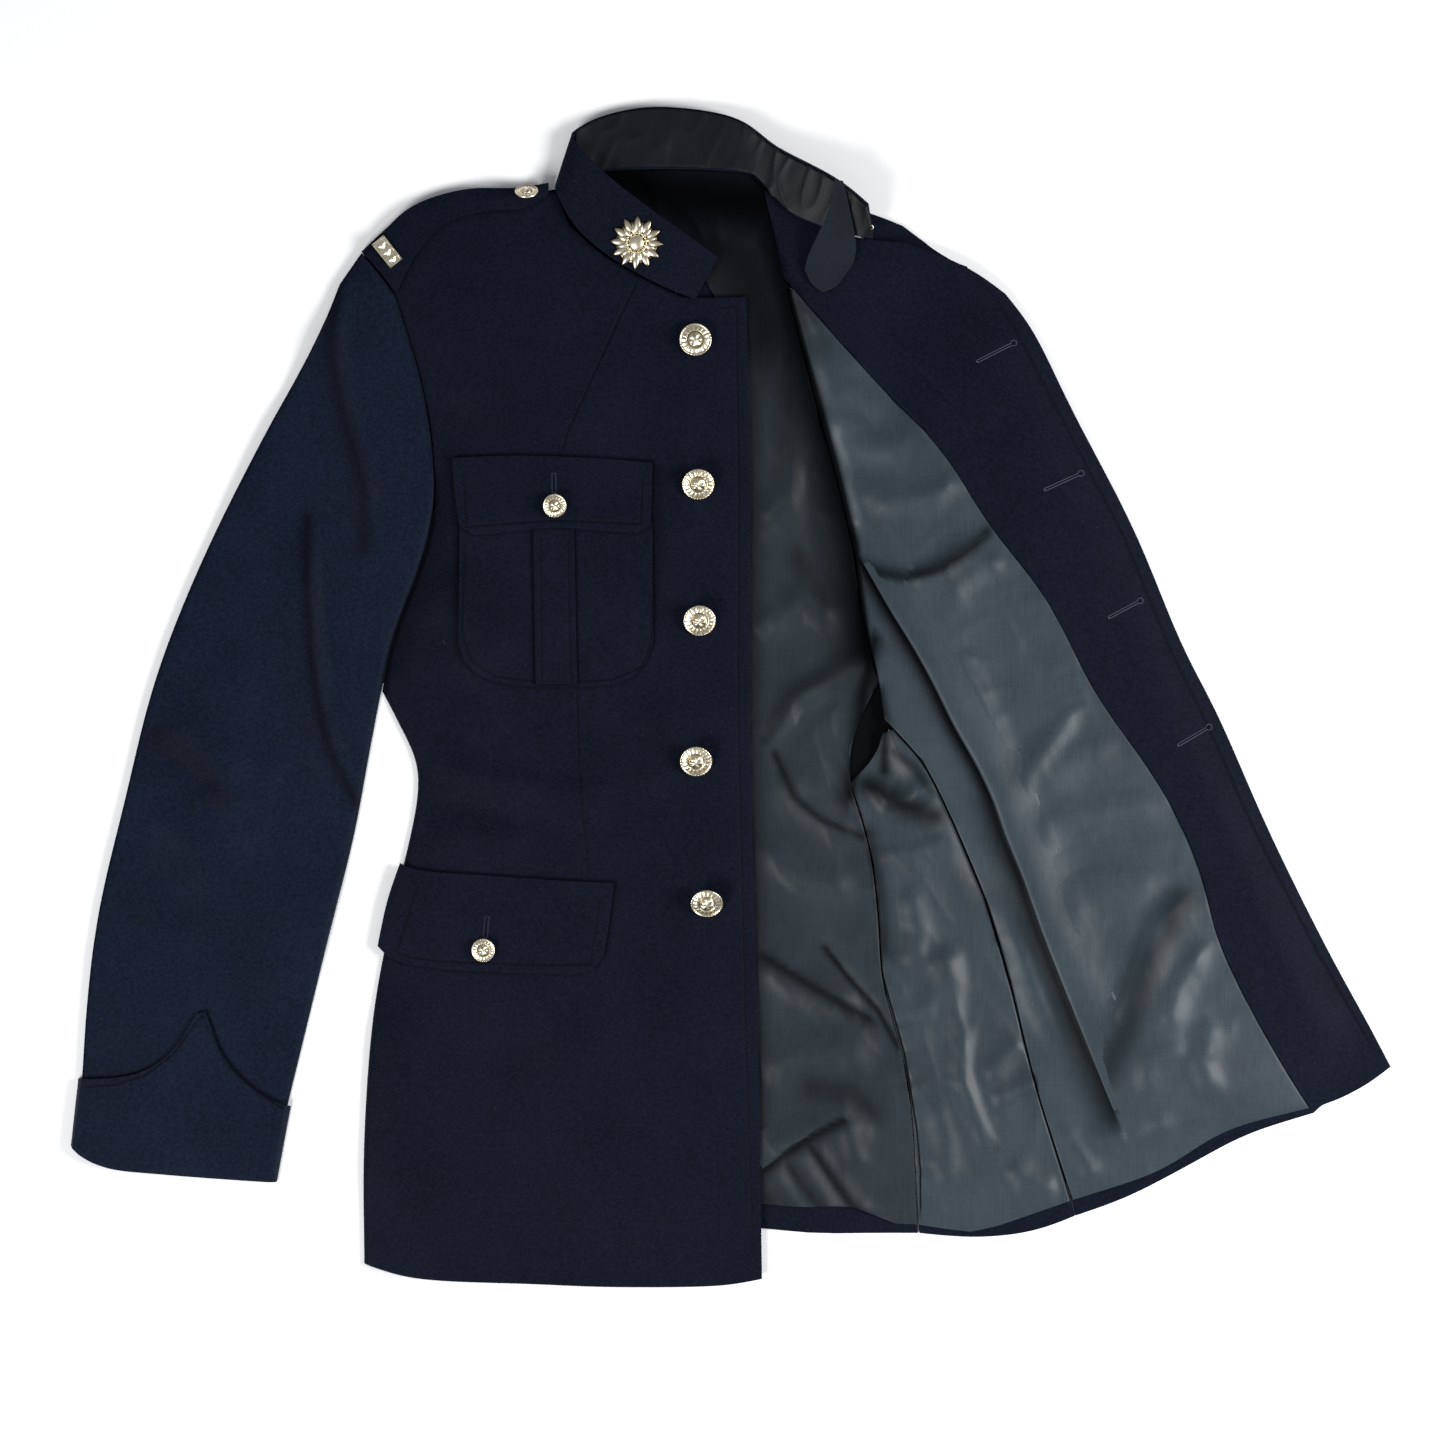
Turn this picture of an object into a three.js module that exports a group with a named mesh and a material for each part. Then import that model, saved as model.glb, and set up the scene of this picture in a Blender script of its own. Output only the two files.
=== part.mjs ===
// A dress jacket of navy wool, laid on its back on a flat surface.
// The wearer's right front lies closed with its outer face up. The left front is opened
// out, so that its facing and lining show, and the left sleeve lies flat beneath it.
// Millimetres: X runs across the jacket, Y towards the collar, and Z up from the surface.
import * as THREE from "three";

// Driving sizes of the cloth
const WOOL = 2;
const WOOL_FRONT = 2.6; // front cloth with its canvas
const SATIN = 1.2;
const FELT = 1.6;
const SEAM = 0.3; // half of the gap that two sewn pieces keep
const REST = 0.45; // how far one layer lies above another
const SLEEVE_HEIGHT = 7.4; // a sleeve pressed flat: under wall, top wall and the air between
const LIFT = SLEEVE_HEIGHT + 1.2; // how far the hidden sleeve raises the left front
const LIFT_SLOPE = 30; // length of the slope from that height down to the surface

// Driving sizes of the gilt fittings
const BIG_BUTTON = 22.8;
const SMALL_BUTTON = 16.5;
const BADGE_WIDTH = 37;
const PLAQUE = { length: 21, width: 10.5, thick: 1.4 };

// Outlines of the closed right front and the right sleeve
const SHOULDER_END = { x: -258.5, y: 311.5 };
const STRAP_END = { x: -234, y: 280 };
const ARMHOLE_FOOT = { x: -206, y: 138 };
const BODY_LEAVES_SLEEVE = { x: -244, y: 4 };
const NECK_POINT = { x: -123, y: 355 };
const NECK_FRONT = { x: -25.5, y: 276 };
const FRONT_CORNER = { x: 11, y: 280 };
const HEM_FRONT = { x: 22, y: -406.5 };
const HEM_SIDE = { x: -256.5, y: -396 };

const armholeTop = [SHOULDER_END, { x: -246.5, y: 297 }, STRAP_END];
const armholeRight = [STRAP_END, { x: -219.5, y: 235 }, { x: -209.5, y: 188 }, ARMHOLE_FOOT];
const underarmRight = [ARMHOLE_FOOT, { x: -213, y: 101 }, { x: -236.5, y: 40 }, BODY_LEAVES_SLEEVE];
const sideRight = [
  BODY_LEAVES_SLEEVE,
  { x: -226.5, y: -30 },
  { x: -216.5, y: -52 },
  { x: -223.5, y: -93 },
  { x: -239.5, y: -163 },
  { x: -250, y: -219 },
  { x: -257, y: -317 },
  HEM_SIDE,
];
const shoulderRight = [
  SHOULDER_END,
  { x: -228, y: 338 },
  { x: -186, y: 352 },
  { x: -148, y: 353 },
  NECK_POINT,
];
const neckRight = [NECK_POINT, { x: -111.5, y: 328 }, { x: -80, y: 303 }, { x: -48, y: 285.5 }, NECK_FRONT];
const frontTop = [NECK_FRONT, { x: -6, y: 280 }, FRONT_CORNER];
const frontEdge = [
  FRONT_CORNER,
  { x: 13.5, y: 138 },
  { x: 13, y: 5 },
  { x: 15.5, y: -110 },
  { x: 19.5, y: -250 },
  HEM_FRONT,
];
const hemRight = [
  HEM_SIDE,
  { x: -228, y: -405.5 },
  { x: -133.5, y: -410.5 },
  { x: -81, y: -412.5 },
  { x: 3, y: -410.5 },
  HEM_FRONT,
];

const SLEEVE_TIP = { x: -458.8, y: -313 };
const SLEEVE_CORNER = { x: -320.3, y: -337.6 };
const CUFF_TIP = { x: -461.5, y: -313.5 };
const CUFF_CORNER = { x: -317.5, y: -339.3 };
const sleeveOuter = [
  SHOULDER_END,
  { x: -272, y: 293.5 },
  { x: -286, y: 258.5 },
  { x: -328.5, y: 180 },
  { x: -370.5, y: 96 },
  { x: -403.5, y: 12 },
  { x: -424.5, y: -72 },
  { x: -444, y: -156 },
  { x: -453, y: -240 },
  { x: -454, y: -264 },
  SLEEVE_TIP,
];
const sleeveInner = [
  BODY_LEAVES_SLEEVE,
  { x: -254.5, y: -51 },
  { x: -262, y: -93 },
  { x: -283, y: -177 },
  { x: -303.5, y: -261 },
  { x: -310.6, y: -290 },
  SLEEVE_CORNER,
];
const sleeveEnd = [
  SLEEVE_TIP,
  { x: -450.5, y: -320.5 },
  { x: -434, y: -327.5 },
  { x: -396, y: -331.5 },
  SLEEVE_CORNER,
];
const cuffEnd = [
  CUFF_TIP,
  { x: -452, y: -322 },
  { x: -434, y: -329.2 },
  { x: -396, y: -333.3 },
  CUFF_CORNER,
];
const CUFF_OUTER = { x: -456.4, y: -267 };
const CUFF_INNER = { x: -307.6, y: -286.5 };
const cuffTop = [
  CUFF_OUTER,
  { x: -423, y: -265 },
  { x: -404, y: -258.5 },
  { x: -388, y: -245.5 },
  { x: -376, y: -227 },
  { x: -368.5, y: -216.5 },
  { x: -363, y: -230 },
  { x: -355, y: -250 },
  { x: -344, y: -264 },
  { x: -326, y: -279 },
  CUFF_INNER,
];

// Outlines of the opened left half, lining side up
const LEFT_NECK = { x: 23, y: 355 };
const FACING_START = { x: 37, y: 293 };
const ARMHOLE_LOW = { x: 104, y: 10 };
const SIDE_TOP = { x: 107, y: -16 };
const LEFT_SHOULDER = { x: 171, y: 297.5 };
const LEFT_CORNER = { x: 461.4, y: -258.5 };
const FACING_HEM = { x: 408, y: -291 };
const SEAM_B_HEM = { x: 241, y: -363 };
const SEAM_A_HEM = { x: 132, y: -375 };

const valleyTop = [LEFT_NECK, { x: 28.5, y: 330 }, FACING_START];
const valley = [
  FACING_START,
  { x: 52, y: 232 },
  { x: 71, y: 163 },
  { x: 85, y: 106 },
  { x: 90, y: 68 },
  ARMHOLE_LOW,
];
const sideSeamTop = [ARMHOLE_LOW, { x: 106, y: -2 }, SIDE_TOP];
const facingLine = [
  FACING_START,
  { x: 78, y: 246.5 },
  { x: 109.5, y: 212 },
  { x: 151, y: 167.5 },
  { x: 178, y: 123 },
  { x: 221, y: 68 },
  { x: 253.5, y: 4 },
  { x: 300.5, y: -63.5 },
  { x: 328, y: -121 },
  { x: 338.5, y: -166.5 },
  { x: 377.5, y: -244.5 },
  FACING_HEM,
];
const leftTop = [
  { x: 32, y: 349 },
  { x: 48, y: 337 },
  { x: 64, y: 328 },
  { x: 95, y: 319 },
  { x: 118, y: 318 },
  { x: 141, y: 311 },
  LEFT_SHOULDER,
];
const leftEdge = [
  LEFT_SHOULDER,
  { x: 188.5, y: 285 },
  { x: 207, y: 264 },
  { x: 238.5, y: 201 },
  { x: 282, y: 117 },
  { x: 317, y: 33 },
  { x: 339, y: -9 },
  { x: 376, y: -93 },
  { x: 417.5, y: -177 },
  { x: 452, y: -240 },
  LEFT_CORNER,
];
const facingHem = [FACING_HEM, { x: 423, y: -282 }, { x: 446, y: -270 }, LEFT_CORNER];
const leftHem = [
  SEAM_B_HEM,
  { x: 276, y: -350.5 },
  { x: 318, y: -329 },
  { x: 360, y: -306.5 },
  FACING_HEM,
];
const seamB = [
  SIDE_TOP,
  { x: 134, y: -45 },
  { x: 155, y: -87.5 },
  { x: 179, y: -144 },
  { x: 195, y: -198 },
  { x: 213, y: -271.5 },
  SEAM_B_HEM,
];
const SEAM_A_TOP = { x: 83.5, y: -60 };
const seamA = [
  SEAM_A_TOP,
  { x: 96.5, y: -101 },
  { x: 104, y: -157.5 },
  { x: 105.5, y: -195.5 },
  { x: 124, y: -269 },
  SEAM_A_HEM,
];
const armholeBack = [ARMHOLE_LOW, { x: 94, y: -8 }, { x: 84, y: -36 }, SEAM_A_TOP];
const armholeSide = [SIDE_TOP, { x: 104, y: -34 }, { x: 96, y: -50 }, SEAM_A_TOP];
const sideHem = [SEAM_A_HEM, { x: 171, y: -378 }, { x: 213, y: -373.5 }, SEAM_B_HEM];

// The back, which lies on the surface, and the part of its lining that shows
const BACK_NECK = { x: -37, y: 372.5 };
const BACK_HEM = { x: -60, y: -380 };
const centreBack = [BACK_NECK, { x: -40, y: 120 }, { x: -46, y: -120 }, BACK_HEM];
const backShoulder = [
  SHOULDER_END,
  { x: -228, y: 337 },
  { x: -186, y: 351 },
  { x: -125, y: 359 },
  { x: -92, y: 371 },
  BACK_NECK,
];
const backNeckLeft = [BACK_NECK, { x: -4, y: 371.5 }, { x: 12, y: 369 }, { x: 20, y: 361.5 }, LEFT_NECK];
const backHemRight = [{ x: HEM_SIDE.x, y: -391 }, { x: -160, y: -386 }, BACK_HEM];
const backHemLeft = [BACK_HEM, { x: 24, y: -370 }, { x: 63, y: -377 }, { x: 100, y: -374.5 }, SEAM_A_HEM];
const LINING_CORNER = { x: -92, y: 367 };
const liningLeft = [
  LINING_CORNER,
  { x: -76, y: 342 },
  { x: -45, y: 318 },
  { x: -20, y: 296 },
  { x: -4, y: 262 },
  { x: 1, y: 138 },
  { x: 2, y: -107 },
  { x: 6, y: -353 },
];
const liningTop = [
  LINING_CORNER,
  { x: -64, y: 368.3 },
  { x: -35, y: 368.3 },
  { x: -6, y: 367.2 },
  { x: 14, y: 363.6 },
  LEFT_NECK,
];
const liningHemBack = [
  { x: 6, y: -353 },
  { x: 50, y: -357 },
  { x: 86, y: -356.5 },
  { x: 113, y: -368 },
  { x: 131, y: -369 },
];
const liningHemSide = [
  { x: 131, y: -369 },
  { x: 171, y: -374 },
  { x: 203, y: -364.5 },
  { x: 239, y: -352 },
];
const liningHemFront = [
  { x: 239, y: -352 },
  { x: 301, y: -331 },
  { x: 345, y: -304 },
  { x: 405, y: -287.5 },
];

// The left sleeve, flat under the left front
const HIDDEN_SLEEVE = {
  inner: [{ x: 128, y: -20 }, { x: 185, y: -95 }, { x: 245, y: -185 }, { x: 300, y: -272 }],
  outer: [
    { x: 172, y: 240 },
    { x: 226, y: 140 },
    { x: 290, y: -6 },
    { x: 345, y: -125 },
    { x: 394, y: -226 },
  ],
  head: [{ x: 128, y: -20 }, { x: 120, y: 60 }, { x: 132, y: 160 }, { x: 172, y: 240 }],
  end: [{ x: 300, y: -272 }, { x: 348, y: -252 }, { x: 394, y: -226 }],
};
const HIDDEN_CUFF_AT = 0.83; // the hidden cuff starts at this share of the sleeve's length

// Largest folds. Each is a soft ridge along a path, wide to its left and right as given
const FRONT_FOLDS = [
  { path: [{ x: -203, y: 92 }, { x: -176, y: 40 }, { x: -150, y: -8 }], height: 1.6, left: 14, right: 16 },
  {
    path: [{ x: -214, y: -46 }, { x: -168, y: -68 }, { x: -120, y: -72 }],
    height: 1.8,
    left: 10,
    right: 14,
  },
  {
    path: [{ x: -236, y: -205 }, { x: -226, y: -290 }, { x: -228, y: -380 }],
    height: 1.6,
    left: 12,
    right: 26,
  },
  {
    path: [{ x: -92, y: -190 }, { x: -98, y: -300 }, { x: -94, y: -400 }],
    height: 1.5,
    left: 30,
    right: 34,
  },
];
const SLEEVE_FOLDS = [
  {
    path: [{ x: -276, y: 281 }, { x: -278, y: 242 }, { x: -265, y: 182 }, { x: -256, y: 101 }],
    height: 3.2,
    left: 9,
    right: 17,
  },
  {
    path: [{ x: -296, y: 130 }, { x: -293, y: 34 }, { x: -276, y: -49 }, { x: -263, y: -75 }],
    height: 3.4,
    left: 10,
    right: 20,
  },
  {
    path: [{ x: -398, y: -12 }, { x: -372, y: -58 }, { x: -366, y: -120 }],
    height: 2.2,
    left: 16,
    right: 13,
  },
  {
    path: [{ x: -352, y: 60 }, { x: -356, y: -20 }, { x: -340, y: -140 }],
    height: 1.8,
    left: 18,
    right: 20,
  },
];
const BACK_LINING_FOLDS = [
  { path: [{ x: 30, y: 236 }, { x: 44, y: 130 }, { x: 50, y: 30 }], height: 3, left: 9, right: 10 },
  { path: [{ x: 24, y: -10 }, { x: 52, y: 22 }, { x: 78, y: 40 }], height: 3.4, left: 7, right: 10 },
  { path: [{ x: 30, y: -40 }, { x: 58, y: -62 }, { x: 78, y: -96 }], height: 3, left: 10, right: 8 },
  { path: [{ x: 26, y: -150 }, { x: 58, y: -176 }, { x: 92, y: -214 }], height: 3.2, left: 9, right: 12 },
  {
    path: [{ x: 28, y: -330 }, { x: 52, y: -300 }, { x: 76, y: -304 }, { x: 100, y: -342 }],
    height: 4,
    left: 10,
    right: 9,
  },
];
const SIDE_LINING_FOLDS = [
  { path: [{ x: 112, y: -58 }, { x: 124, y: -110 }, { x: 150, y: -176 }], height: 2.6, left: 8, right: 9 },
  { path: [{ x: 118, y: -196 }, { x: 142, y: -262 }, { x: 158, y: -340 }], height: 3, left: 9, right: 10 },
  { path: [{ x: 172, y: -190 }, { x: 186, y: -262 }, { x: 196, y: -330 }], height: 2.2, left: 8, right: 8 },
];
const FRONT_LINING_FOLDS = [
  {
    path: [
      { x: 92, y: 88 },
      { x: 126, y: 34 },
      { x: 157, y: -20 },
      { x: 189, y: -73 },
      { x: 213, y: -146 },
      { x: 233, y: -197 },
      { x: 264, y: -280 },
    ],
    height: 4.6,
    left: 26,
    right: 3.2,
  },
  { path: [{ x: 112, y: 168 }, { x: 128, y: 104 }, { x: 176, y: 40 }], height: 2.4, left: 10, right: 12 },
  { path: [{ x: 196, y: 36 }, { x: 214, y: -40 }, { x: 262, y: -98 }], height: 2.6, left: 12, right: 12 },
  {
    path: [{ x: 272, y: -110 }, { x: 286, y: -190 }, { x: 330, y: -260 }],
    height: 2.6,
    left: 12,
    right: 14,
  },
];

// Where the fittings sit, and how far each front button leans towards the hem
const FRONT_BUTTONS = [
  { x: -24.5, y: 249.5, lean: 4 },
  { x: -22.5, y: 150, lean: 24 },
  { x: -21.5, y: 55, lean: 24 },
  { x: -24, y: -43, lean: 26 },
  { x: -16.5, y: -141.5, lean: 34 },
];
const CHEST_BUTTON = { x: -122.5, y: 133.5, lean: 6 };
const HIP_BUTTON = { x: -172.5, y: -176.5, lean: 4 };
const STRAP_BUTTON = { x: -142, y: 349.5, lean: -52 };
const TITLE_PLAQUE = { x: -239.5, y: 310.5, turn: -0.9 };

// Pockets on the right front
const chestPocket = {
  top: [{ x: -189, y: 124 }, { x: -122, y: 126 }, { x: -54.5, y: 124 }],
  left: [{ x: -189, y: 124 }, { x: -189.5, y: 70 }, { x: -190, y: 38 }],
  right: [{ x: -54.5, y: 124 }, { x: -54, y: 70 }, { x: -54, y: 38 }],
  bottom: [
    { x: -190, y: 38 },
    { x: -183, y: 20 },
    { x: -166, y: 10.5 },
    { x: -137, y: 7 },
    { x: -107, y: 7 },
    { x: -82, y: 8.5 },
    { x: -62, y: 19 },
    { x: -54, y: 38 },
  ],
};
const chestPleat = {
  top: [{ x: -137.5, y: 112 }, { x: -109, y: 112 }],
  left: [{ x: -137.5, y: 112 }, { x: -136, y: 9 }],
  right: [{ x: -109, y: 112 }, { x: -107, y: 9 }],
  bottom: [{ x: -136, y: 9 }, { x: -107, y: 9 }],
};
const chestFlap = {
  top: [{ x: -194.5, y: 167 }, { x: -150, y: 168.5 }, { x: -91.5, y: 166.5 }, { x: -54.5, y: 163.5 }],
  left: [{ x: -194.5, y: 167 }, { x: -192.5, y: 142 }, { x: -189, y: 119 }],
  right: [{ x: -54.5, y: 163.5 }, { x: -55, y: 142 }, { x: -56, y: 120 }],
  bottom: [
    { x: -189, y: 119 },
    { x: -183, y: 114 },
    { x: -123, y: 118 },
    { x: -61, y: 115.5 },
    { x: -56, y: 120 },
  ],
};
const hipFlap = {
  top: [
    { x: -227, y: -116 },
    { x: -218, y: -120.5 },
    { x: -172, y: -124.5 },
    { x: -122, y: -128 },
    { x: -81, y: -130 },
  ],
  left: [{ x: -227, y: -116 }, { x: -236, y: -145 }, { x: -242, y: -174 }],
  right: [{ x: -81, y: -130 }, { x: -84, y: -152.5 }, { x: -88.5, y: -181 }],
  bottom: [
    { x: -242, y: -174 },
    { x: -231, y: -184 },
    { x: -209.5, y: -189 },
    { x: -134.5, y: -193 },
    { x: -97, y: -191.5 },
    { x: -88.5, y: -181 },
  ],
};

// Shoulder straps. The left one peeps out past the shoulder of the opened front
const strapRight = {
  top: [
    { x: -255, y: 308 },
    { x: -226, y: 340.5 },
    { x: -186, y: 354.5 },
    { x: -148, y: 355.5 },
    { x: -127, y: 359 },
  ],
  left: [{ x: -255, y: 308 }, { x: -245, y: 297 }, { x: -233, y: 281.5 }],
  right: [{ x: -127, y: 359 }, { x: -127, y: 351 }],
  bottom: [
    { x: -233, y: 281.5 },
    { x: -219.5, y: 308.5 },
    { x: -199, y: 331 },
    { x: -169, y: 339.5 },
    { x: -146, y: 340.5 },
    { x: -127, y: 351 },
  ],
};
const strapLeft = {
  top: [{ x: 96, y: 339 }, { x: 122, y: 329 }, { x: 140, y: 314.5 }, { x: 166, y: 304.5 }],
  left: [{ x: 96, y: 339 }, { x: 92, y: 312 }],
  right: [{ x: 166, y: 304.5 }, { x: 156, y: 284 }],
  bottom: [{ x: 92, y: 312 }, { x: 122, y: 300 }, { x: 156, y: 284 }],
};
const collarTab = {
  top: [{ x: 72, y: 358 }, { x: 78, y: 357 }],
  left: [{ x: 72, y: 358 }, { x: 69, y: 340 }, { x: 58, y: 316 }, { x: 51.5, y: 300 }, { x: 55.5, y: 290 }],
  right: [{ x: 78, y: 357 }, { x: 83, y: 336 }, { x: 87.5, y: 308 }, { x: 82, y: 297 }, { x: 75, y: 288 }],
  bottom: [{ x: 55.5, y: 290 }, { x: 64, y: 283 }, { x: 75, y: 288 }],
};

// The collar, a stiff band: its seam and its top edge from the left end, round the back, over the
// fold at the wearer's right and along the leaf that lies outer face up
const COLLAR_SECTIONS = [
  { seam: [99.5, 319.5, 16], top: [95, 341, 31] },
  { seam: [82, 322.5, 14.6], top: [82, 353, 29] },
  { seam: [63.5, 328.5, 11.5], top: [66, 364, 26] },
  { seam: [45.5, 336, 7.6], top: [45, 375.5, 20] },
  { seam: [31, 349.5, 5.6], top: [29, 385, 15] },
  { seam: [17, 364.8, 4.6], top: [12, 399.5, 11] },
  { seam: [-6, 368, 4], top: [-5, 407, 8] },
  { seam: [-36, 369, 3.8], top: [-37, 411.8, 6] },
  { seam: [-64, 369, 3.8], top: [-63, 411.8, 6] },
  { seam: [-92, 367, 4], top: [-92, 405, 6.8] },
  { seam: [-113, 360.5, 4.8], top: [-107, 396.5, 8.4] },
  { seam: [-121.5, 356.6, 7.6], top: [-110.5, 390, 12] },
  { seam: [-120, 349.5, 10.8], top: [-104, 381.5, 16] },
  { seam: [-108.3, 328, 10], top: [-88, 365, 16.6] },
  { seam: [-84, 307, 9.6], top: [-64.5, 346.5, 17] },
  { seam: [-63, 294.7, 9.6], top: [-43, 330.5, 17] },
  { seam: [-42, 284.4, 9.8], top: [-22, 316, 16] },
  { seam: [-24.5, 277.6, 10], top: [-9, 306, 14] },
];
const COLLAR_THICK = 2.4;
const LEAF_START = 10; // section where the collar's lining disappears under the leaf
const BAND_STEPS = 2;
const BAND_ACROSS = 4;
const BADGE_SECTION = 14; // the badge sits between this section and the next
const BADGE_SHARE = 0.42; // its height between the collar's seam and its top edge
const BADGE_LOBES = 12;
const BUTTON_SIDES = 16;
const TAB = { y: 358, z: 32.4, slope: 0.43 }; // the tab leans on the collar band

// Colours of the finishes
const navy = new THREE.MeshStandardMaterial({ color: 0x1a2130, roughness: 0.95 });
const satin = new THREE.MeshStandardMaterial({ color: 0x4a5658, roughness: 0.45 });
const felt = new THREE.MeshStandardMaterial({ color: 0x262d38, roughness: 1 });
const gilt = new THREE.MeshStandardMaterial({ color: 0xd8c48a, roughness: 0.25, metalness: 1 });

const jacket = new THREE.Group();

function add(name, geometry, material) {
  const mesh = new THREE.Mesh(geometry, material);
  mesh.name = name;
  jacket.add(mesh);
  return mesh;
}

const mix = (a, b, t) => a + (b - a) * t;
const clamp = (t) => Math.min(1, Math.max(0, t));
const smooth = (t) => clamp(t) ** 2 * (3 - 2 * clamp(t));

// A smooth curve through the rows of an outline, as a function of 0 to 1 by length
function curve(rows) {
  const line = new THREE.CatmullRomCurve3(
    rows.map((r) => new THREE.Vector3(r.x, r.y, r.z ?? 0)),
    false,
    "centripetal",
  );
  return (t) => line.getPointAt(clamp(t));
}

// Several outlines end to end, each with its share of the whole
function chain(...parts) {
  const total = parts.reduce((sum, part) => sum + part.share, 0);
  const pieces = parts.map((part) => ({ at: curve(part.rows), share: part.share / total }));
  return (t) => {
    let left = clamp(t);
    for (const piece of pieces.slice(0, -1)) {
      if (left <= piece.share) return piece.at(left / piece.share);
      left -= piece.share;
    }
    const last = pieces[pieces.length - 1];
    return last.at(left / last.share);
  };
}

// A place inside four outlines: u runs from left to right, v from the top down
function place(sides, u, v) {
  const { top, bottom, left, right } = sides;
  const blend = (axis) =>
    mix(top(u)[axis], bottom(u)[axis], v) +
    mix(left(v)[axis], right(v)[axis], u) -
    mix(mix(top(0)[axis], top(1)[axis], u), mix(bottom(0)[axis], bottom(1)[axis], u), v);
  return { x: blend("x"), y: blend("y") };
}

// Steps from 0 to 1 across a length, with extra ones at real distances from either end
function steps(count, length, near = [], far = []) {
  const from = near.length ? near[near.length - 1] : 0;
  const to = length - (far.length ? far[far.length - 1] : 0);
  const inner = Array.from({ length: count + 1 }, (_, i) => mix(from, to, i / count));
  const ends = far.map((d) => length - d).reverse();
  return [...near.slice(0, -1), ...inner, ...ends.slice(1)].map((d) => d / length);
}

// Two grids of points, upper and lower, joined into one closed wall
function wall(upper, lower) {
  const rows = upper.length;
  const columns = upper[0].length;
  const points = [...upper.flat(), ...lower.flat()];
  const half = rows * columns;
  const at = (i, j, side) => side * half + i * columns + j;
  const faces = [];
  const quad = (a, b, c, d) => faces.push([a, b, c], [a, c, d]);
  for (let i = 0; i < rows - 1; i += 1) {
    for (let j = 0; j < columns - 1; j += 1) {
      quad(at(i, j, 0), at(i + 1, j, 0), at(i + 1, j + 1, 0), at(i, j + 1, 0));
      quad(at(i, j, 1), at(i, j + 1, 1), at(i + 1, j + 1, 1), at(i + 1, j, 1));
    }
  }
  for (let i = 0; i < rows - 1; i += 1) {
    const far = columns - 1;
    quad(at(i, 0, 0), at(i, 0, 1), at(i + 1, 0, 1), at(i + 1, 0, 0));
    quad(at(i + 1, far, 0), at(i + 1, far, 1), at(i, far, 1), at(i, far, 0));
  }
  for (let j = 0; j < columns - 1; j += 1) {
    const far = rows - 1;
    quad(at(0, j + 1, 0), at(0, j + 1, 1), at(0, j, 1), at(0, j, 0));
    quad(at(far, j, 0), at(far, j, 1), at(far, j + 1, 1), at(far, j + 1, 0));
  }
  const geometry = new THREE.BufferGeometry();
  geometry.setAttribute("position", new THREE.Float32BufferAttribute(points.flat(), 3));
  geometry.setIndex(faces.flat());
  return geometry;
}

// Distance from a place to a path, how far along it that is, and on which side it lies
function toPath(path, x, y) {
  let best = { distance: Infinity, along: 0, side: 1 };
  for (let i = 0; i < path.length - 1; i += 1) {
    const [a, b] = [path[i], path[i + 1]];
    const [dx, dy] = [b.x - a.x, b.y - a.y];
    const t = clamp(((x - a.x) * dx + (y - a.y) * dy) / (dx * dx + dy * dy));
    const [px, py] = [x - a.x - dx * t, y - a.y - dy * t];
    const distance = Math.hypot(px, py);
    if (distance < best.distance) {
      best = { distance, along: (i + t) / (path.length - 1), side: Math.sign(dx * py - dy * px) || 1 };
    }
  }
  return best;
}

// Height of the soft ridges at a place. Each fades out towards its two ends
function folds(table, x, y) {
  let height = 0;
  for (const fold of table) {
    const near = toPath(fold.path, x, y);
    const wide = near.side > 0 ? fold.left : fold.right;
    const fade = smooth(Math.min(near.along, 1 - near.along) / 0.22);
    height = Math.max(height, fold.height * fade * Math.exp(-((near.distance / wide) ** 2)));
  }
  return height;
}

// A grid of places between four outlines, each with its distances to the left and right sides
function grid(sides, { rows, columns, nearLeft, nearRight, from = 0, to = 1 }) {
  return steps(rows, 1).map((row) => {
    const v = mix(from, to, row);
    const [a, b] = [sides.left(v), sides.right(v)];
    const width = Math.max(0.5, Math.hypot(a.x - b.x, a.y - b.y));
    return steps(columns, width, nearLeft, nearRight).map((u) => ({
      ...place(sides, u, v),
      u,
      v,
      fromLeft: u * width,
      fromRight: (1 - u) * width,
    }));
  });
}

// Moves the outer rows and columns of a grid of points inwards along its own lines
function trimmed(points, { left = SEAM, right = SEAM, top = SEAM, bottom = SEAM } = {}) {
  const inwards = (a, b, gap) => {
    const length = Math.hypot(a[0] - b[0], a[1] - b[1]);
    return a.map((value, axis) => mix(value, b[axis], gap / length));
  };
  const sides = points.map((row) => {
    const last = row.length - 1;
    return [inwards(row[0], row[1], left), ...row.slice(1, -1), inwards(row[last], row[last - 1], right)];
  });
  const last = sides.length - 1;
  return sides.map((row, i) => {
    if (i === 0) return row.map((point, j) => inwards(point, sides[1][j], top));
    if (i === last) return row.map((point, j) => inwards(point, sides[last - 1][j], bottom));
    return row;
  });
}

// A panel of cloth over a grid of places. The heights of its two faces are functions of the place
function panel(places, { gaps, under, over }) {
  const lower = places.map((row) => row.map((p) => [p.x, p.y, under(p)]));
  const upper = places.map((row, i) =>
    row.map((p, j) => [p.x, p.y, Math.max(over(p, lower[i][j][2]), lower[i][j][2] + 0.8)]),
  );
  return { upper: trimmed(upper, gaps), lower: trimmed(lower, gaps) };
}

function addPanel(name, places, options, material) {
  const faces = panel(places, options);
  add(name, wall(faces.upper, faces.lower), material);
  return faces.upper;
}

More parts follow.
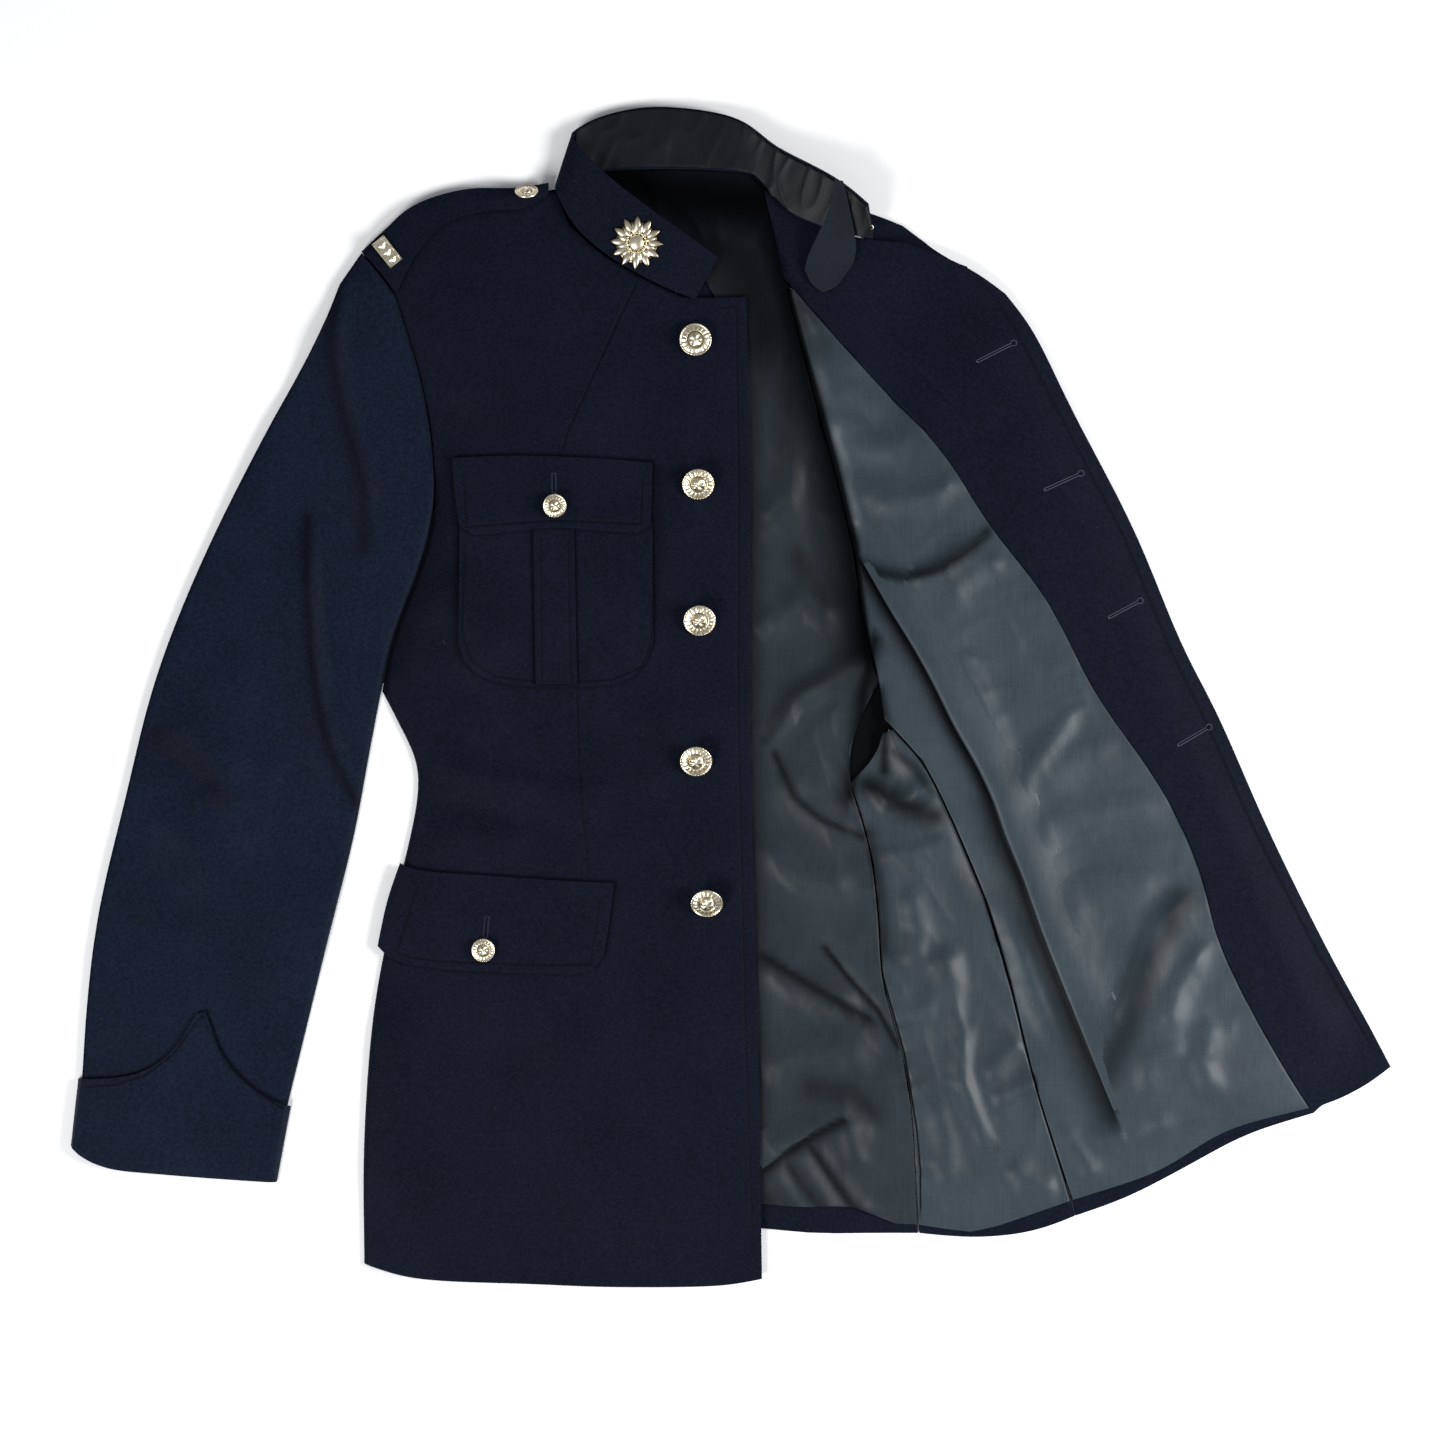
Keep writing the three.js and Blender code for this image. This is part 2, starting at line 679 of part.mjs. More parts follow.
// The height of a panel's upper face at a place, off its own triangles
const EDGE_SLACK = 1e-6;
function heightOn(grid, x, y) {
  for (let i = 0; i < grid.length - 1; i += 1) {
    for (let j = 0; j < grid[i].length - 1; j += 1) {
      const corners = [grid[i][j], grid[i + 1][j], grid[i + 1][j + 1], grid[i][j + 1]];
      for (const [a, b, c] of [
        [corners[0], corners[1], corners[2]],
        [corners[0], corners[2], corners[3]],
      ]) {
        const area = (b[0] - a[0]) * (c[1] - a[1]) - (c[0] - a[0]) * (b[1] - a[1]);
        const s = ((x - a[0]) * (c[1] - a[1]) - (c[0] - a[0]) * (y - a[1])) / area;
        const t = ((b[0] - a[0]) * (y - a[1]) - (x - a[0]) * (b[1] - a[1])) / area;
        const inside = s >= -EDGE_SLACK && t >= -EDGE_SLACK && s + t <= 1 + EDGE_SLACK;
        if (inside) return a[2] + s * (b[2] - a[2]) + t * (c[2] - a[2]);
      }
    }
  }
  return undefined;
}

// The highest point of a panel within reach of a place, for what lies over its bends
function highest(points, x, y, reach) {
  const around = [
    [0, 0],
    [reach, 0],
    [-reach, 0],
    [0, reach],
    [0, -reach],
  ];
  const found = around.map(([dx, dy]) => heightOn(points, x + dx, y + dy)).filter((z) => z !== undefined);
  return found.length ? Math.max(...found) : undefined;
}

const sidesOf = (shape) => ({
  top: curve(shape.top),
  bottom: curve(shape.bottom),
  left: curve(shape.left),
  right: curve(shape.right),
});
const FLUSH = { left: 0, right: 0, top: 0, bottom: 0 };

// How far a folded edge falls at a distance from it: a quarter round
const EDGE_ROUND = 7;
const EDGE_FOOT = 3.4; // the turned edge rests on the surface this far in
const LOW_EDGE = 1.2;
const edgeFall = (distance) => 1 - Math.sqrt(1 - (1 - clamp(distance / EDGE_ROUND)) ** 2);
const FOLD_STEPS = [0, 1.2, EDGE_FOOT, EDGE_FOOT + 0.8, 8];
const UNDER_TUCK = EDGE_FOOT + 3.6; // an under wall stays this far inside a turned edge

// Right front: a wall on the back, thicker over the shoulder, its side turned under
const ARMHOLE_ROWS = 2;
const SEAM_ROWS = 6;
const UNDERARM_ROWS = 5;
const SIDE_ROWS = 14;
const SEAM_DIP = { depth: 0.9, width: 4 }; // the cloth dips to the armhole seam
const sleeveEnds = (y) => smooth((ARMHOLE_FOOT.y + 14 - y) / 30); // 0 on the armhole, 1 on the fold
const FRONT_EDGE = { raise: 1.9, from: -70, length: 60 }; // it lies on the back lining too
const CHEST_SWELL = { x: -125, y: 130, wide: 95, long: 150, height: 2.4 };
const SHOULDER_PAD = { x: -205, y: 290, wide: 75, long: 70, height: 2.6 };

function swell(mound, x, y) {
  return mound.height * Math.exp(-(((x - mound.x) / mound.wide) ** 2) - ((y - mound.y) / mound.long) ** 2);
}

function frontBase(x, y) {
  const overLining = FRONT_EDGE.raise * smooth((x - FRONT_EDGE.from) / FRONT_EDGE.length);
  return WOOL + REST + overLining + swell(CHEST_SWELL, x, y) + folds(FRONT_FOLDS, x, y);
}

const front = addPanel(
  "front_right",
  grid(
    {
      left: chain(
        { rows: armholeTop, share: ARMHOLE_ROWS },
        { rows: armholeRight, share: SEAM_ROWS },
        { rows: underarmRight, share: UNDERARM_ROWS },
        { rows: sideRight, share: SIDE_ROWS },
      ),
      right: curve(frontEdge),
      top: chain(
        { rows: shoulderRight, share: 8 },
        { rows: neckRight, share: 7 },
        { rows: frontTop, share: 2 },
      ),
      bottom: curve(hemRight),
    },
    { rows: ARMHOLE_ROWS + SEAM_ROWS + UNDERARM_ROWS + SIDE_ROWS, columns: 13, nearLeft: FOLD_STEPS },
  ),
  {
    gaps: { right: 0, bottom: 0, top: 0.6 },
    under: (p) => {
      const turned = p.fromLeft <= EDGE_FOOT + 0.1 ? sleeveEnds(p.y) : 0;
      return frontBase(p.x, p.y) * (1 - turned);
    },
    over: (p) => {
      const full = frontBase(p.x, p.y) + WOOL_FRONT + swell(SHOULDER_PAD, p.x, p.y);
      const turned = (full - LOW_EDGE) * edgeFall(p.fromLeft) * sleeveEnds(p.y);
      const seamDip = SEAM_DIP.depth * (1 - sleeveEnds(p.y)) * smooth(1 - p.fromLeft / SEAM_DIP.width);
      return full - turned - seamDip;
    },
  },
  navy,
);

// Back, in two halves on the surface
const flat = { under: () => 0, over: () => WOOL };
addPanel(
  "back_right",
  grid(
    {
      left: chain(
        { rows: armholeTop, share: ARMHOLE_ROWS },
        { rows: armholeRight, share: SEAM_ROWS },
        { rows: underarmRight, share: UNDERARM_ROWS },
        { rows: [...sideRight.slice(0, -1), backHemRight[0]], share: SIDE_ROWS },
      ),
      right: curve(centreBack),
      top: curve(backShoulder),
      bottom: curve(backHemRight),
    },
    { rows: ARMHOLE_ROWS + SEAM_ROWS + UNDERARM_ROWS + SIDE_ROWS, columns: 2, nearLeft: [0, 16] },
  ),
  { gaps: { left: UNDER_TUCK, top: 2.2 }, ...flat },
  navy,
);
const BACK_ROWS = { valley: 10, armhole: 3, seam: 9 };
const backValley = [...valleyTop.slice(0, -1), ...valley];
addPanel(
  "back_left",
  grid(
    {
      left: curve(centreBack),
      right: chain(
        { rows: backValley, share: BACK_ROWS.valley },
        { rows: armholeBack, share: BACK_ROWS.armhole },
        { rows: seamA, share: BACK_ROWS.seam },
      ),
      top: curve(backNeckLeft),
      bottom: curve(backHemLeft),
    },
    { rows: BACK_ROWS.valley + BACK_ROWS.armhole + BACK_ROWS.seam, columns: 5 },
  ),
  { gaps: { right: 0.9, bottom: 0 }, ...flat },
  navy,
);

// The left half is lifted where the hidden sleeve and the strap lie under it
const hiddenOutline = [
  ...HIDDEN_SLEEVE.head,
  ...HIDDEN_SLEEVE.outer.slice(1),
  ...[...HIDDEN_SLEEVE.end].reverse().slice(1),
  ...[...HIDDEN_SLEEVE.inner].reverse().slice(1),
];
const strapOutline = [...strapLeft.top, ...[...strapLeft.bottom].reverse()];
const STRAP_LIFT = WOOL + 1.4;

function insideOutline(outline, x, y) {
  let inside = false;
  for (let i = 0, j = outline.length - 1; i < outline.length; j = i, i += 1) {
    const [a, b] = [outline[i], outline[j]];
    if (a.y > y !== b.y > y && x < a.x + ((y - a.y) / (b.y - a.y)) * (b.x - a.x)) inside = !inside;
  }
  return inside;
}

function raisedBy(outline, height, margin, slope, x, y) {
  if (insideOutline(outline, x, y)) return height;
  const away = toPath([...outline, outline[0]], x, y).distance;
  return height * smooth(1 - (away - margin) / slope);
}

function lift(x, y) {
  const sleeve = raisedBy(hiddenOutline, LIFT, 12, LIFT_SLOPE, x, y);
  const strap = raisedBy(strapOutline, STRAP_LIFT, 14, LIFT_SLOPE, x, y);
  return Math.max(sleeve, strap);
}

// A shell and what lies on it share one grid, so the layers keep their distance everywhere
const shell = { under: (p) => lift(p.x, p.y), over: (p, bottom) => bottom + WOOL };
const onShell = (thick, table = []) => ({
  under: (p) => lift(p.x, p.y) + WOOL + REST + folds(table, p.x, p.y),
  over: (p, bottom) => bottom + thick,
});

function hemRow(lastRow, hem) {
  return lastRow.map((p) => {
    const at = hem(p.u);
    return { ...p, x: at.x, y: at.y };
  });
}

const SIDE_ROWS_LEFT = { armhole: 2, seam: 12 };
const sideRows = SIDE_ROWS_LEFT.armhole + SIDE_ROWS_LEFT.seam;
const HEM_TURN = 0.4; // the shell shows this much below the facing
const LINING_POINT = 0.35; // the lining's top row, as a share of the row below it
const seamALining = [...seamA.slice(0, -1), liningHemSide[0]];
const seamBLining = [...seamB.slice(0, -1), liningHemFront[0]];
const sideSides = {
  left: chain(
    { rows: armholeSide, share: SIDE_ROWS_LEFT.armhole },
    { rows: seamALining, share: SIDE_ROWS_LEFT.seam },
  ),
  right: curve(seamBLining),
  top: curve([SIDE_TOP, { x: SIDE_TOP.x + 0.5, y: SIDE_TOP.y }]),
  bottom: curve(liningHemSide),
};
const SIDE_COLUMNS = 6;
const sidePlaces = [
  grid(sideSides, { rows: 1, columns: SIDE_COLUMNS, from: LINING_POINT / sideRows, to: 1 / sideRows })[0],
  ...grid(sideSides, { rows: sideRows - 1, columns: SIDE_COLUMNS, from: 1 / sideRows }),
];
const sideShell = [...sidePlaces, hemRow(sidePlaces[sidePlaces.length - 1], curve(sideHem))];
addPanel("side_left", sideShell, { gaps: { bottom: 0 }, ...shell }, navy);
addPanel(
  "lining_side_left",
  sidePlaces,
  { gaps: { left: 0.6, right: 0.6 }, ...onShell(SATIN, SIDE_LINING_FOLDS) },
  satin,
);

const FRONT_ROWS = { valley: 9, armhole: 1, seam: 14 };
const frontRows = FRONT_ROWS.valley + FRONT_ROWS.armhole + FRONT_ROWS.seam;
const facingLineLining = [...facingLine.slice(0, -1), liningHemFront[3]];
const frontLiningSides = {
  left: chain(
    { rows: valley, share: FRONT_ROWS.valley },
    { rows: sideSeamTop, share: FRONT_ROWS.armhole },
    { rows: seamBLining, share: FRONT_ROWS.seam },
  ),
  right: curve(facingLineLining),
  top: curve([FACING_START, { x: FACING_START.x + 0.5, y: FACING_START.y }]),
  bottom: curve(liningHemFront),
};
const FRONT_LINING_COLUMNS = 9;
const liningPlaces = grid(frontLiningSides, {
  rows: frontRows - 1,
  columns: FRONT_LINING_COLUMNS,
  from: 1 / frontRows,
});
const liningPoint = grid(frontLiningSides, {
  rows: 1,
  columns: FRONT_LINING_COLUMNS,
  from: LINING_POINT / frontRows,
  to: 1 / frontRows,
})[0];
const facingPlaces = grid(
  {
    left: curve(facingLineLining),
    right: curve(leftEdge),
    top: chain({ rows: [...valleyTop].reverse(), share: 1 }, { rows: [LEFT_NECK, ...leftTop], share: 6 }),
    bottom: curve([liningHemFront[3], ...facingHem.slice(1)]),
  },
  { rows: frontRows, columns: 7 },
);
const lastLining = liningPlaces[liningPlaces.length - 1];
const shellRows = liningPlaces.map((row, i) => [...row.slice(0, -1), ...facingPlaces[i + 1]]);
const shellHem = [
  ...hemRow(lastLining, curve(leftHem)).slice(0, -1),
  ...facingPlaces[frontRows].map(
    (p, j) => (j === 0 ? { ...p, ...FACING_HEM } : { ...p, y: p.y - HEM_TURN }),
  ),
];
const shellTop = [...liningPoint.slice(0, -1), ...facingPlaces[0]];
addPanel(
  "front_left",
  [shellTop, ...shellRows, shellHem],
  { gaps: { right: 0, bottom: 0 }, ...shell },
  navy,
);
const facing = addPanel(
  "facing_left",
  facingPlaces,
  { gaps: { right: 0, bottom: 0 }, ...onShell(WOOL) },
  navy,
);
addPanel(
  "lining_front_left",
  [liningPoint, ...liningPlaces],
  { gaps: { left: 0.6, right: 0.4 }, ...onShell(SATIN, FRONT_LINING_FOLDS) },
  satin,
);

addPanel(
  "lining_back",
  grid(
    {
      left: curve(liningLeft),
      right: chain(
        { rows: [...valleyTop.slice(0, -1), ...valley], share: 12 },
        { rows: armholeBack, share: 3 },
        { rows: seamALining, share: SIDE_ROWS_LEFT.seam },
      ),
      top: curve(liningTop),
      bottom: curve(liningHemBack),
    },
    { rows: 15 + SIDE_ROWS_LEFT.seam, columns: 8 },
  ),
  {
    gaps: { right: 0.6 },
    under: (p) => WOOL + REST + folds(BACK_LINING_FOLDS, p.x, p.y),
    over: (p, bottom) => bottom + SATIN,
  },
  satin,
);

// The left sleeve's lining, seen through the armhole between the back and the side
addPanel(
  "sleeve_left_lining",
  grid(
    {
      left: curve(armholeBack),
      right: curve([...sideSeamTop, ...armholeSide.slice(1)]),
      top: curve([ARMHOLE_LOW, { x: ARMHOLE_LOW.x + 0.5, y: ARMHOLE_LOW.y }]),
      bottom: curve([SEAM_A_TOP, { x: SEAM_A_TOP.x + 0.5, y: SEAM_A_TOP.y }]),
    },
    { rows: 8, columns: 2, from: 0.06, to: 0.88 },
  ),
  { gaps: { left: 0.6, right: 2 }, under: () => 0, over: () => SATIN },
  satin,
);

// A sleeve pressed flat: an under wall on the surface and a top wall turned down at its folds
function sleeve(name, sides, options) {
  const { foldLeft, foldRight, table, gaps, crown, ...layout } = options;
  const base = (p) => WOOL + REST + 0.6 + folds(table, p.x, p.y) + crown(p);
  const top = addPanel(
    `${name}_top`,
    grid(sides, { ...layout, nearLeft: FOLD_STEPS, nearRight: FOLD_STEPS }),
    {
      gaps,
      under: (p) => {
        const atLeft = p.fromLeft <= EDGE_FOOT + 0.1 ? foldLeft(p.y) : 0;
        const atRight = p.fromRight <= EDGE_FOOT + 0.1 ? foldRight(p.y) : 0;
        return base(p) * (1 - Math.max(atLeft, atRight));
      },
      over: (p) => {
        const full = base(p) + WOOL_FRONT;
        const fall = edgeFall(p.fromLeft) * foldLeft(p.y) + edgeFall(p.fromRight) * foldRight(p.y);
        return full - (full - LOW_EDGE) * Math.min(1, fall);
      },
    },
    navy,
  );
  addPanel(
    `${name}_under`,
    grid(sides, { ...layout, rows: layout.rows / 2, columns: 2, nearLeft: [0, 14], nearRight: [0, 14] }),
    { gaps: { ...gaps, left: UNDER_TUCK, right: UNDER_TUCK }, ...flat },
    navy,
  );
  return top;
}

const SLEEVE_CROWN = 1.6; // a flat sleeve is this much higher along its middle
const SLEEVE_HEAD = { raise: 1.6, from: 190, length: 90 }; // and rises towards the shoulder
const sleeveRight = sleeve(
  "sleeve_right",
  {
    left: curve(sleeveOuter),
    right: chain(
      { rows: armholeRight, share: SEAM_ROWS },
      { rows: underarmRight, share: UNDERARM_ROWS },
      { rows: sleeveInner, share: 13 },
    ),
    top: curve(armholeTop),
    bottom: curve(sleeveEnd),
  },
  {
    rows: SEAM_ROWS + UNDERARM_ROWS + 13,
    columns: 7,
    table: SLEEVE_FOLDS,
    foldLeft: () => 1,
    foldRight: sleeveEnds,
    gaps: { left: 1.6, right: 0.5, top: 0.5, bottom: 1.2 },
    crown: (p) => {
      const head = SLEEVE_HEAD.raise * smooth((p.y - SLEEVE_HEAD.from) / SLEEVE_HEAD.length);
      return SLEEVE_CROWN * Math.sin(Math.PI * p.u) + head;
    },
  },
);

const hiddenSides = sidesOf({
  top: HIDDEN_SLEEVE.head,
  bottom: HIDDEN_SLEEVE.end,
  left: HIDDEN_SLEEVE.inner,
  right: HIDDEN_SLEEVE.outer,
});
sleeve("sleeve_left", hiddenSides, {
  rows: 10,
  columns: 3,
  to: HIDDEN_CUFF_AT,
  table: [],
  foldLeft: () => 1,
  foldRight: () => 1,
  crown: () => 0,
});
const turnedEdges = (p) => Math.min(1, edgeFall(p.fromLeft) + edgeFall(p.fromRight));
addPanel(
  "cuff_left",
  grid(
    hiddenSides,
    { rows: 2, columns: 3, from: HIDDEN_CUFF_AT, nearLeft: FOLD_STEPS, nearRight: FOLD_STEPS },
  ),
  {
    under: () => 0,
    over: (p) => mix(SLEEVE_HEIGHT - 1.4, LOW_EDGE, turnedEdges(p)),
  },
  navy,
);

// The right cuff is pointed, lies on its sleeve and turns down over the sleeve's folds
const CUFF_STEPS = [0, 1.2, 2.6, 4.2, 6.4, 9.5];
const cuffEdge = (p) => Math.min(p.fromLeft, p.fromRight);
addPanel(
  "cuff_right",
  grid(
    {
      left: curve([CUFF_OUTER, { x: -459, y: -290 }, CUFF_TIP]),
      right: curve([CUFF_INNER, { x: -311, y: -304 }, CUFF_CORNER]),
      top: curve(cuffTop),
      bottom: curve(cuffEnd),
    },
    { rows: 5, columns: 18, nearLeft: CUFF_STEPS, nearRight: CUFF_STEPS },
  ),
  {
    gaps: FLUSH,
    under: (p) => (cuffEdge(p) < 1.3 ? 0 : (highest(sleeveRight, p.x, p.y, 6) ?? 0) + REST + 0.3),
    over: (p, bottom) => (cuffEdge(p) < 1.3 ? mix(2.2, 5.4, cuffEdge(p) / 1.2) : bottom + WOOL),
  },
  navy,
);

// Pieces that lie on the right front, made from its own points and moved out
const onPiece = (points, reach, raise, thick) => ({
  gaps: FLUSH,
  under: (p) => {
    const below = highest(points, p.x, p.y, reach) ?? heightOn(points, p.x + 2 * reach, p.y);
    return below + raise(p);
  },
  over: (p, bottom) => bottom + thick,
});

const POCKET_CLOTH = 1.4;
const FLAP_RAISE = POCKET_CLOTH + 0.5;
const pocket = addPanel(
  "chest_pocket",
  grid(sidesOf(chestPocket), { rows: 8, columns: 12 }),
  onPiece(front, 1.5, () => REST, POCKET_CLOTH),
  navy,
);
addPanel(
  "chest_pleat",
  grid(sidesOf(chestPleat), { rows: 8, columns: 3 }),
  onPiece(pocket, 1.5, () => REST, POCKET_CLOTH),
  navy,
);
const flapChest = addPanel(
  "chest_flap",
  grid(sidesOf(chestFlap), { rows: 6, columns: 12 }),
  onPiece(front, 1.5, (p) => REST + 0.2 + FLAP_RAISE * smooth((138 - p.y) / 10), WOOL),
  navy,
);
const flapHip = addPanel(
  "hip_flap",
  grid(sidesOf(hipFlap), { rows: 6, columns: 12, nearLeft: [0, 3, 6, 10] }),
  onPiece(front, 5, () => REST + 0.2, WOOL),
  navy,
);

// Shoulder straps
const strap = addPanel(
  "strap_right",
  grid(sidesOf(strapRight), { rows: 3, columns: 14 }),
  {
    gaps: FLUSH,
    under: (p) => (highest(front, p.x, p.y, 4) ?? highest(sleeveRight, p.x, p.y, 8) ?? 7) + REST + 0.3,
    over: (p, bottom) => bottom + WOOL - 1.1 * smooth(1 - p.v / 0.34),
  },
  navy,
);
addPanel("strap_left", grid(sidesOf(strapLeft), { rows: 3, columns: 6 }), { gaps: FLUSH, ...flat }, navy);

// Collar band: points across its height on a smooth run of sections
function band(from, to, thick, offset, margin) {
  const part = COLLAR_SECTIONS.slice(from, to + 1);
  const line = (key) => new THREE.CatmullRomCurve3(
    part.map((s) => new THREE.Vector3(...s[key])),
    false,
    "centripetal",
  );
  const [seam, top] = [line("seam"), line("top")];
  const middle = (s, h) => seam.getPoint(clamp(s)).lerp(top.getPoint(clamp(s)), h);
  const normal = (s, h) => {
    const along = middle(s + 0.01, h).sub(middle(s - 0.01, h));
    return along.cross(middle(s, 1).sub(middle(s, 0))).normalize();
  };
  const count = (to - from) * BAND_STEPS;
  const face = (side) =>
    Array.from({ length: count + 1 }, (_, i) =>
      Array.from({ length: BAND_ACROSS + 1 }, (__, j) => {
        const [s, h] = [i / count, mix(margin, 1 - margin, j / BAND_ACROSS)];
        return middle(s, h).addScaledVector(normal(s, h), offset + side * thick).toArray();
      }),
    );
  return { upper: face(-0.5), lower: face(0.5) };
}

const collar = band(0, COLLAR_SECTIONS.length - 1, COLLAR_THICK, 0, 0);
add("collar", wall(collar.lower, collar.upper), navy);
const liningOffset = -(COLLAR_THICK + SATIN) / 2 - REST;
const collarLining = band(0, LEAF_START, SATIN, liningOffset, 0.04);
add("collar_lining", wall(collarLining.lower, collarLining.upper), satin);

// The felt tab at the collar's left end hangs from the band down on the facing
addPanel(
  "collar_tab",
  grid(sidesOf(collarTab), { rows: 8, columns: 4 }),
  {
    gaps: FLUSH,
    under: (p) => {
      const below = [collarLining.upper, collarLining.lower, facing].map(
        (points) => highest(points, p.x, p.y, 4) ?? 0,
      );
      return Math.max(TAB.z - (TAB.y - p.y) * TAB.slope, Math.max(...below) + REST);
    },
    over: (p, bottom) => bottom + FELT,
  },
  felt,
);

// Gilt buttons: a domed front with a raised rim, a flat back and a shank that meets the cloth
function buttonProfile(diameter) {
  const r = diameter / 2;
  const shank = { radius: r * 0.24, length: r * 0.22 };
  return [
    [0, 0],
    [shank.radius, 0],
    [shank.radius, shank.length],
    [r * 0.86, shank.length],
    [r, shank.length + r * 0.1],
    [r * 0.97, shank.length + r * 0.24],
    [r * 0.86, shank.length + r * 0.22],
    [r * 0.5, shank.length + r * 0.36],
    [0, shank.length + r * 0.42],
  ].map(([x, y]) => new THREE.Vector2(x, y));
}

// A leaning button rests on the cloth with the lowest point of its profile
function button(name, spot, diameter, points) {
  const profile = buttonProfile(diameter);
  const mesh = add(name, new THREE.LatheGeometry(profile, BUTTON_SIDES).rotateX(Math.PI / 2), gilt);
  const lean = THREE.MathUtils.degToRad(spot.lean);
  const [across, up] = [Math.abs(Math.sin(lean)), Math.cos(lean)];
  const heights = profile.map((point) => {
    const aside = Math.sign(lean) * (point.x * up + point.y * across);
    const cloth = highest(points, spot.x, spot.y - aside, 2) ?? 0;
    return cloth + point.x * across - point.y * up;
  });
  mesh.rotation.x = lean;
  mesh.position.set(spot.x, spot.y, Math.max(...heights) + REST);
}

FRONT_BUTTONS.forEach((spot, i) => button(`front_button_${i + 1}`, spot, BIG_BUTTON, front));
button("chest_button", CHEST_BUTTON, SMALL_BUTTON, flapChest);
button("hip_button", HIP_BUTTON, SMALL_BUTTON, flapHip);
button("strap_button", STRAP_BUTTON, SMALL_BUTTON, strap);

// Collar badge: a scalloped gilt rosette with a domed centre, on the collar's leaf
function rosetteGeometry(width) {
  const shape = new THREE.Shape();
  const points = BADGE_LOBES * 3;
  for (let i = 0; i < points; i += 1) {
    const angle = (i / points) * 2 * Math.PI;
    const radius = (width / 2) * (0.94 + 0.06 * Math.cos(BADGE_LOBES * angle));
    const method = i === 0 ? "moveTo" : "lineTo";
    shape[method](radius * Math.cos(angle), radius * Math.sin(angle));
  }
  return new THREE.ExtrudeGeometry(shape, {
    depth: 1,
    bevelEnabled: true,
    bevelSize: 1.6,
    bevelOffset: -1.6,
    bevelThickness: 1,
    bevelSegments: 1,
  });
}

// The leaf's middle face where a fitting sits: a point between two sections and its outward normal
function onLeaf(section, share) {
  const [a, b] = [COLLAR_SECTIONS[section], COLLAR_SECTIONS[section + 1]];
  const at = (s) => new THREE.Vector3(...s.seam).lerp(new THREE.Vector3(...s.top), share);
  const [p, q] = [at(a), at(b)];
  const up = new THREE.Vector3(...a.top).sub(new THREE.Vector3(...a.seam));
  return { point: p.clone().lerp(q, 0.5), normal: q.sub(p).cross(up).normalize() };
}

const seat = onLeaf(BADGE_SECTION, BADGE_SHARE);
const badge = add("collar_badge", rosetteGeometry(BADGE_WIDTH), gilt);
badge.quaternion.setFromUnitVectors(new THREE.Vector3(0, 0, 1), seat.normal);
badge.position.copy(seat.point).addScaledVector(seat.normal, COLLAR_THICK / 2 + 1 + REST);

// Shoulder plaque: a small bar on the strap's end
const plaqueShape = new THREE.Shape();
plaqueShape.moveTo(-PLAQUE.length / 2, -PLAQUE.width / 2);
plaqueShape.lineTo(PLAQUE.length / 2, -PLAQUE.width / 2);
plaqueShape.lineTo(PLAQUE.length / 2, PLAQUE.width / 2);
plaqueShape.lineTo(-PLAQUE.length / 2, PLAQUE.width / 2);
const plaque = add(
  "shoulder_plaque",
  new THREE.ExtrudeGeometry(plaqueShape, { depth: PLAQUE.thick, bevelEnabled: false }),
  gilt,
);
plaque.rotation.z = TITLE_PLAQUE.turn;
plaque.position.set(
  TITLE_PLAQUE.x,
  TITLE_PLAQUE.y,
  highest(strap, TITLE_PLAQUE.x, TITLE_PLAQUE.y, 7) + REST,
);

export default jacket;
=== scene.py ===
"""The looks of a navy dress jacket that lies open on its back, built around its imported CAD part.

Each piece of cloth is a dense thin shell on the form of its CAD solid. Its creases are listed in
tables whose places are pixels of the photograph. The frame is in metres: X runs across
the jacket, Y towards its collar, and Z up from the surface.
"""

import math

import bmesh
import bpy
import numpy as np
from mathutils import Matrix, Vector, noise
from mathutils.bvhtree import BVHTree


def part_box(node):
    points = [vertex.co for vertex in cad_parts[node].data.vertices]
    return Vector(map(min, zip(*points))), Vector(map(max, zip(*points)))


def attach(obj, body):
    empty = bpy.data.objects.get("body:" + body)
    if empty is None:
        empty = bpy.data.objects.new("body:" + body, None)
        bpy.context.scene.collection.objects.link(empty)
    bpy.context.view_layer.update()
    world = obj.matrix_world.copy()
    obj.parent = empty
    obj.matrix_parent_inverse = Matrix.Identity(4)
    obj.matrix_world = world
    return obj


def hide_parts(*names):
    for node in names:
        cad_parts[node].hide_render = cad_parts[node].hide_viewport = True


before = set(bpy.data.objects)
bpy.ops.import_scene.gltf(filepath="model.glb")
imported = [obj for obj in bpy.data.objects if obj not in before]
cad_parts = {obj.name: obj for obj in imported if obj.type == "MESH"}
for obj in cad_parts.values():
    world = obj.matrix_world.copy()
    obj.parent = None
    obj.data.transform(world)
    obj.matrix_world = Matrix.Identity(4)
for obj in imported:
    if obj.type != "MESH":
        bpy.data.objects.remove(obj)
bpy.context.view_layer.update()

MM = 0.001
PIXEL = 0.7 * MM  # one pixel of the photograph, at the cloth
CENTRE_PX = (730.5, 697.0)  # the pixel where the frame's origin lies
PHOTO_PX = 1445
FAR = 50.0  # distances to a seam are stored up to this, in millimetres
END_FADE = 0.25  # a crease dies out over this share of its length, at both ends
SEAM_END_FADE = 0.04  # a sewn groove over this share
SQUARE = ((-1, -1), (1, -1), (1, 1), (-1, 1))


def place(px, py):
    """A place in the photograph, in metres in the frame."""
    return (px - CENTRE_PX[0]) * PIXEL, (CENTRE_PX[1] - py) * PIXEL


def smooth(t):
    """A soft step: 0 up to 0, 1 from 1 on."""
    t = np.clip(t, 0, 1)
    return t * t * (3 - 2 * t)


